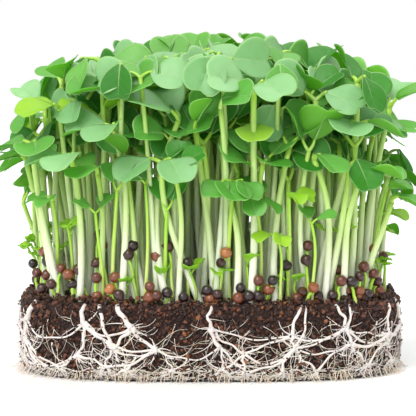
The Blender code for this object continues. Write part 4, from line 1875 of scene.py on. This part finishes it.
@dataclass
class Seeds:
    """The seed coats that lie on the block and that late sprouts carry up, and the late sprouts.

    Shares are places between the middle of the block, 0, and its outline, 1. The front holds the seeds
    that are placed one by one, so the others keep off it, outside bare_front and within front_half.
    """

    outline: Outline
    maker: SproutMaker
    radius: float = 1.7 * MM
    beak: float = 0.55 * MM
    beak_width: float = 0.27
    dents: tuple[float, float] = (0.07, 0.03)
    stalk: float = 0.50 * MM
    packed: int = 8
    low_seeds: float = 32.0
    low_share: Point = (0.90, 0.965)
    high_share: Point = (0.86, 0.93)
    round_count: int = 96
    round_scatter: float = 0.13
    brim_gap: float = 0.04
    most_share: float = 0.985
    between_seeds: float = 3.1
    bare_front: float = 0.7
    front_half: float = 56.0
    small_count: int = 34
    small_from: float = 28.0
    small_roll: float = 30.0
    round_the_back: Point = (0.16, 0.84)
    seed: int = 41
    coats: Mould = field(default_factory=Mould)
    stalks: Mould = field(default_factory=Mould)

    def coat(self, mould: Mould, seed: Seed, dice: random.Random) -> None:
        """Adds one seed coat, nearly round, with a short beak and shallow dents.

        Args:
            mould: where it goes.
            seed: the seed coat.
            dice: the source of its dents.
        """
        rows, sides = 12, 16
        middle = Vector(seed.place) * MM
        beak = (compass(seed.heading) - UP * dice.uniform(-0.4, 1.2)).normalized()
        across = beak.orthogonal().normalized()
        beside = beak.cross(across)
        offset = Vector((dice.uniform(0, 50), dice.uniform(0, 50), dice.uniform(0, 50)))
        broad, fine = self.dents

        def skin(polar: float, angle: float) -> Vector:
            """The coat's surface in one direction.

            Args:
                polar: the angle from the beak.
                angle: the angle round it.

            Returns:
                The point.
            """
            level = across * math.cos(angle) + beside * math.sin(angle)
            way = beak * math.cos(polar) + level * math.sin(polar)
            dent = broad * noise.noise(way * 1.9 + offset) + fine * noise.noise(way * 5.5 + offset)
            point = self.beak * math.exp(-((polar / self.beak_width) ** 2))
            return middle + way * (self.radius * seed.size * (1 + dent) + point)

        points, spread = [skin(0.0, 0.0)], [(0.0, 0.0)]
        for i in range(1, rows):
            for j in range(sides):
                points.append(skin(math.pi * i / rows, math.tau * j / sides))
                spread.append((i / rows, j / sides))
        points.append(skin(math.pi, 0.0))
        spread.append((1.0, 0.0))
        faces: list[tuple[int, ...]] = []
        end = len(points) - 1
        for j in range(sides):
            k = (j + 1) % sides
            faces.append((0, 1 + j, 1 + k))
            faces.append((end, end - sides + k, end - sides + j))
            for i in range(rows - 2):
                a, b = 1 + i * sides, 1 + (i + 1) * sides
                faces.append((a + j, b + j, b + k, a + k))
        mould.add(points, faces, spread, min(1.0, max(0.0, seed.tone + dice.uniform(-0.08, 0.08))))

    def raise_up(self, place: Point, dice: random.Random) -> None:
        """Adds the thin crooked stalk of a late sprout.

        Args:
            place: where it ends, in mm.
            dice: the source of its foot and its bends.
        """
        end = Vector(place) * MM
        inward = -Vector((end.x, end.y * 1.6, 0)).normalized()
        foot = end + inward * dice.uniform(0.5, 3.0) * MM + Vector((dice.uniform(-2.2, 2.2) * MM, 0, 0))
        foot.z = self.outline.height - 1.0 * MM
        bow = Vector((dice.uniform(-1.2, 1.2), dice.uniform(-0.6, 0.6), 0)) * MM
        last = 9
        course, radii = [], []
        for k in range(last + 1):
            s = k / last
            course.append(foot.lerp(end, s) + bow * 4 * s * (1 - s) + bow * 0.3 * math.sin(s * 9))
            radii.append(self.stalk * (1.25 - 0.45 * s) * dice.uniform(0.93, 1.07))
        self.stalks.tube(course, radii, 8, dice.random())

    def front_seeds(self, dice: random.Random) -> list[Seed]:
        """The front's seed coats, each a little behind the brim.

        Args:
            dice: the source of their depths, turns and sizes.

        Returns:
            The seed coats.
        """
        seeds = []
        for x, z, shade in FRONT_SEEDS:
            share = dice.uniform(*(self.low_share if z < self.low_seeds else self.high_share))
            least = abs(x) * MM / self.outline.half_width + 0.01
            y = self.outline.front(x * MM, max(share, least)) / MM
            seeds.append(Seed((x, y, z + 0.4), dice.uniform(0, 360), shade.value, dice.uniform(0.92, 1.06)))
        return seeds

    def round_seeds(self, dice: random.Random) -> list[Seed]:
        """The seed coats on the other sides and between the stems, singly and in small heaps.

        Args:
            dice: the source of their places, shades and sizes.

        Returns:
            The seed coats.
        """
        ground = self.outline.height / MM + self.radius / MM
        seeds: list[Seed] = []
        while len(seeds) < self.round_count:
            along = dice.uniform(0, self.outline.length)
            edge = self.outline.side(along, self.outline.height, 0)
            share = 1 - abs(dice.gauss(0, self.round_scatter)) - self.brim_gap
            x, y = edge.x * share / MM, edge.y * share / MM
            if y < self.outline.front(x * MM, self.bare_front) / MM and abs(x) < self.front_half:
                continue
            for _ in range(dice.choice((1, 1, 2, 3))):
                lift = dice.choice((0.2, 0.3, 0.6, 3.4, dice.uniform(5, 14)))
                place = (x + dice.uniform(-2.6, 2.6), y + dice.uniform(-1.6, 1.6), ground + lift)
                gaps = [(Vector(place) - Vector(s.place)).length for s in seeds]
                inside = self.outline.share(place[0] * MM, place[1] * MM) < self.most_share
                if inside and all(gap > self.between_seeds for gap in gaps):
                    shade = dice.choice(tuple(Shade))
                    seeds.append(Seed(place, dice.uniform(0, 360), shade.value, dice.uniform(0.9, 1.06)))
        return seeds

    def front_bud(self, x: float, z: float, blade: float, dice: random.Random) -> Sprout:
        """A bud at the front that is about to open.

        Args:
            x: its x in mm.
            z: its height in mm.
            blade: its leaves' length in mm.
            dice: the source of its foot and its turns.

        Returns:
            The bud.
        """
        least = abs(x) * MM / self.outline.half_width + 0.02
        y = self.outline.front(x * MM, max(0.88, least)) / MM
        return Sprout(
            foot=(x + dice.uniform(-1.5, 1.5), y + dice.uniform(0.5, 2.5)),
            tip=(x, y, z),
            sway=(dice.uniform(-1, 1), 0),
            blade=blade,
            heading=dice.uniform(200, 340),
            spread=dice.uniform(40, 120),
            climb=dice.uniform(10, 60),
            green=Green.LIME,
            girth=0.42,
            tone=dice.random(),
            roll=self.small_roll,
        )

    def round_bud(self, dice: random.Random) -> Sprout:
        """A bud or small seedling at the brim, anywhere but at the front.

        Args:
            dice: the source of its place and shape.

        Returns:
            The bud.
        """
        along = dice.uniform(*self.round_the_back) * self.outline.length
        edge = self.outline.side(along, self.outline.height, 0) / MM
        blade = dice.uniform(2.4, 7.5)
        z = self.small_from + blade * dice.uniform(1.2, 4.2)
        tip = (edge.x * dice.uniform(0.9, 1.02), edge.y * dice.uniform(0.9, 1.02), z)
        green = dice.choice((Green.LIME, Green.FRESH, Green.DEEP) if blade > 4.5 else (Green.LIME,))
        heading = math.degrees(math.atan2(edge.y, edge.x)) + dice.gauss(0, 50)
        return Sprout(
            foot=(edge.x * 0.86, edge.y * 0.86),
            tip=tip,
            sway=(dice.uniform(-1, 1), dice.uniform(-1, 1)),
            blade=blade,
            heading=heading,
            spread=dice.uniform(60, 130),
            climb=dice.uniform(-5, 60),
            green=green,
            girth=0.35 + blade * 0.04,
            tone=dice.random(),
            roll=self.small_roll,
        )

    def small_ones(self, dice: random.Random) -> list[Sprout]:
        """The buds and small seedlings of the front and of the other sides."""
        buds = [self.front_bud(x, z, blade, dice) for x, z, blade in BUDS]
        return [*SMALL_SEEDLINGS, *buds, *(self.round_bud(dice) for _ in range(self.small_count))]

    def build(self) -> None:
        """Makes the seed coats, then the late sprouts."""
        dice = random.Random(self.seed)
        for number in range(1, self.packed + 1):
            low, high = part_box(f"seed_coat_{number:02d}")
            middle = (Vector(low) + Vector(high)) / 2 / MM
            mould = Mould()
            self.coat(mould, Seed(tuple(middle), dice.uniform(0, 360), dice.random()), dice)
            piece = mould.cast(f"seed_{number:02d}", SEED)
            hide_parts(f"seed_coat_{number:02d}")
            report(piece)
        for seed in self.front_seeds(dice) + self.round_seeds(dice):
            self.coat(self.coats, seed, dice)
            if seed.place[2] * MM > self.outline.height + self.radius * 1.9:
                x, y, z = seed.place
                self.raise_up((x, y, z - 0.8 * self.radius / MM), dice)
        report(self.coats.cast("seed_coats", SEED))
        self.maker.grow("late_stems", "late_leaves", SHOOT, self.small_ones(dice), dice)
        report(self.stalks.cast("late_stalks", SHOOT))


@dataclass(frozen=True)
class Lamp:
    """A broad far lamp: where it shines from, how wide it looks in degrees, and its watts a square metre."""

    name: str
    place: Point
    width: float
    power: float


@dataclass(frozen=True)
class Studio:
    """The floor, the light and the camera."""

    distance: float = 0.50
    pitch: float = 2.5
    frame_width: float = 124.8 * MM
    aim: Point = (-0.6 * MM, -42 * MM, 52.8 * MM)
    sensor: float = 36.0
    clip_start: float = 0.05
    half_floor: float = 60.0
    ambient: float = 0.62
    lamps: tuple[Lamp, ...] = (
        Lamp("key", (-0.5, -0.9, 1.0), 44.0, 2.8),
        Lamp("back", (0.4, 0.5, 1.5), 50.0, 1.4),
    )

    def floor(self) -> None:
        """Makes the floor."""
        mesh = bpy.data.meshes.new("floor")
        size = self.half_floor
        corners = [(-size, -size, 0), (size, -size, 0), (size, size, 0), (-size, size, 0)]
        mesh.from_pydata(corners, [], [(0, 1, 2, 3)])
        mesh.materials.append(FLOOR.material())
        floor = bpy.data.objects.new("floor", mesh)
        bpy.context.scene.collection.objects.link(floor)

    def hang(self, lamp: Lamp) -> None:
        """Hangs a lamp that shines on the stand.

        Args:
            lamp: the lamp.
        """
        data = bpy.data.lights.new(lamp.name, "SUN")
        data.angle = math.radians(lamp.width)
        data.energy = lamp.power
        hung = bpy.data.objects.new(lamp.name, data)
        hung.location = lamp.place
        hung.rotation_euler = (-Vector(lamp.place)).to_track_quat("-Z", "Y").to_euler()
        bpy.context.scene.collection.objects.link(hung)

    def light(self) -> None:
        """Lights the stand softly from all round and from the lamps, with a white backdrop behind it."""
        world = bpy.data.worlds.new("studio")
        bpy.context.scene.world = world
        world.use_nodes = True
        tree = world.node_tree
        white = (1.0, 1.0, 1.0, 1.0)
        soft = tree.nodes["Background"]
        soft.inputs["Color"].default_value = white
        soft.inputs["Strength"].default_value = self.ambient
        backdrop = tree.nodes.new("ShaderNodeBackground")
        backdrop.inputs["Color"].default_value = white
        seen = tree.nodes.new("ShaderNodeLightPath")
        chosen = tree.nodes.new("ShaderNodeMixShader")
        tree.links.new(seen.outputs["Is Camera Ray"], chosen.inputs[0])
        tree.links.new(soft.outputs[0], chosen.inputs[1])
        tree.links.new(backdrop.outputs[0], chosen.inputs[2])
        tree.links.new(chosen.outputs[0], tree.nodes["World Output"].inputs["Surface"])
        for lamp in self.lamps:
            self.hang(lamp)

    def camera(self) -> None:
        """Makes the camera, which looks slightly down on the stand."""
        data = bpy.data.cameras.new("camera")
        data.sensor_width = self.sensor
        data.lens = self.sensor * self.distance / self.frame_width
        data.clip_start = self.clip_start
        pitch = math.radians(self.pitch)
        camera = bpy.data.objects.new("camera", data)
        camera.location = Vector(self.aim) + Vector((0, -math.cos(pitch), math.sin(pitch))) * self.distance
        camera.rotation_euler = (math.pi / 2 - pitch, 0.0, 0.0)
        bpy.context.scene.collection.objects.link(camera)
        bpy.context.scene.camera = camera

    def build(self) -> None:
        """Sets the studio up."""
        self.floor()
        self.light()
        self.camera()
        view = bpy.context.scene.view_settings
        view.view_transform = "Standard"
        view.look = "None"
        LOG.info("studio ready")


def main() -> None:
    """Builds everything in order."""
    logging.basicConfig(level=logging.INFO, format="%(name)s %(message)s")
    low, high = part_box("medium_block")
    outline = Outline((high[0] - low[0]) / 2, (high[1] - low[1]) / 2, high[2])
    Block().dress()
    roots = RootNet(outline)
    roots.build()
    Crumbs(outline).build(roots.spots)
    maker = SproutMaker(outline.height)
    Stand(outline, maker).build()
    Seeds(outline, maker).build()
    Studio().build()


if __name__ == "__main__":
    main()
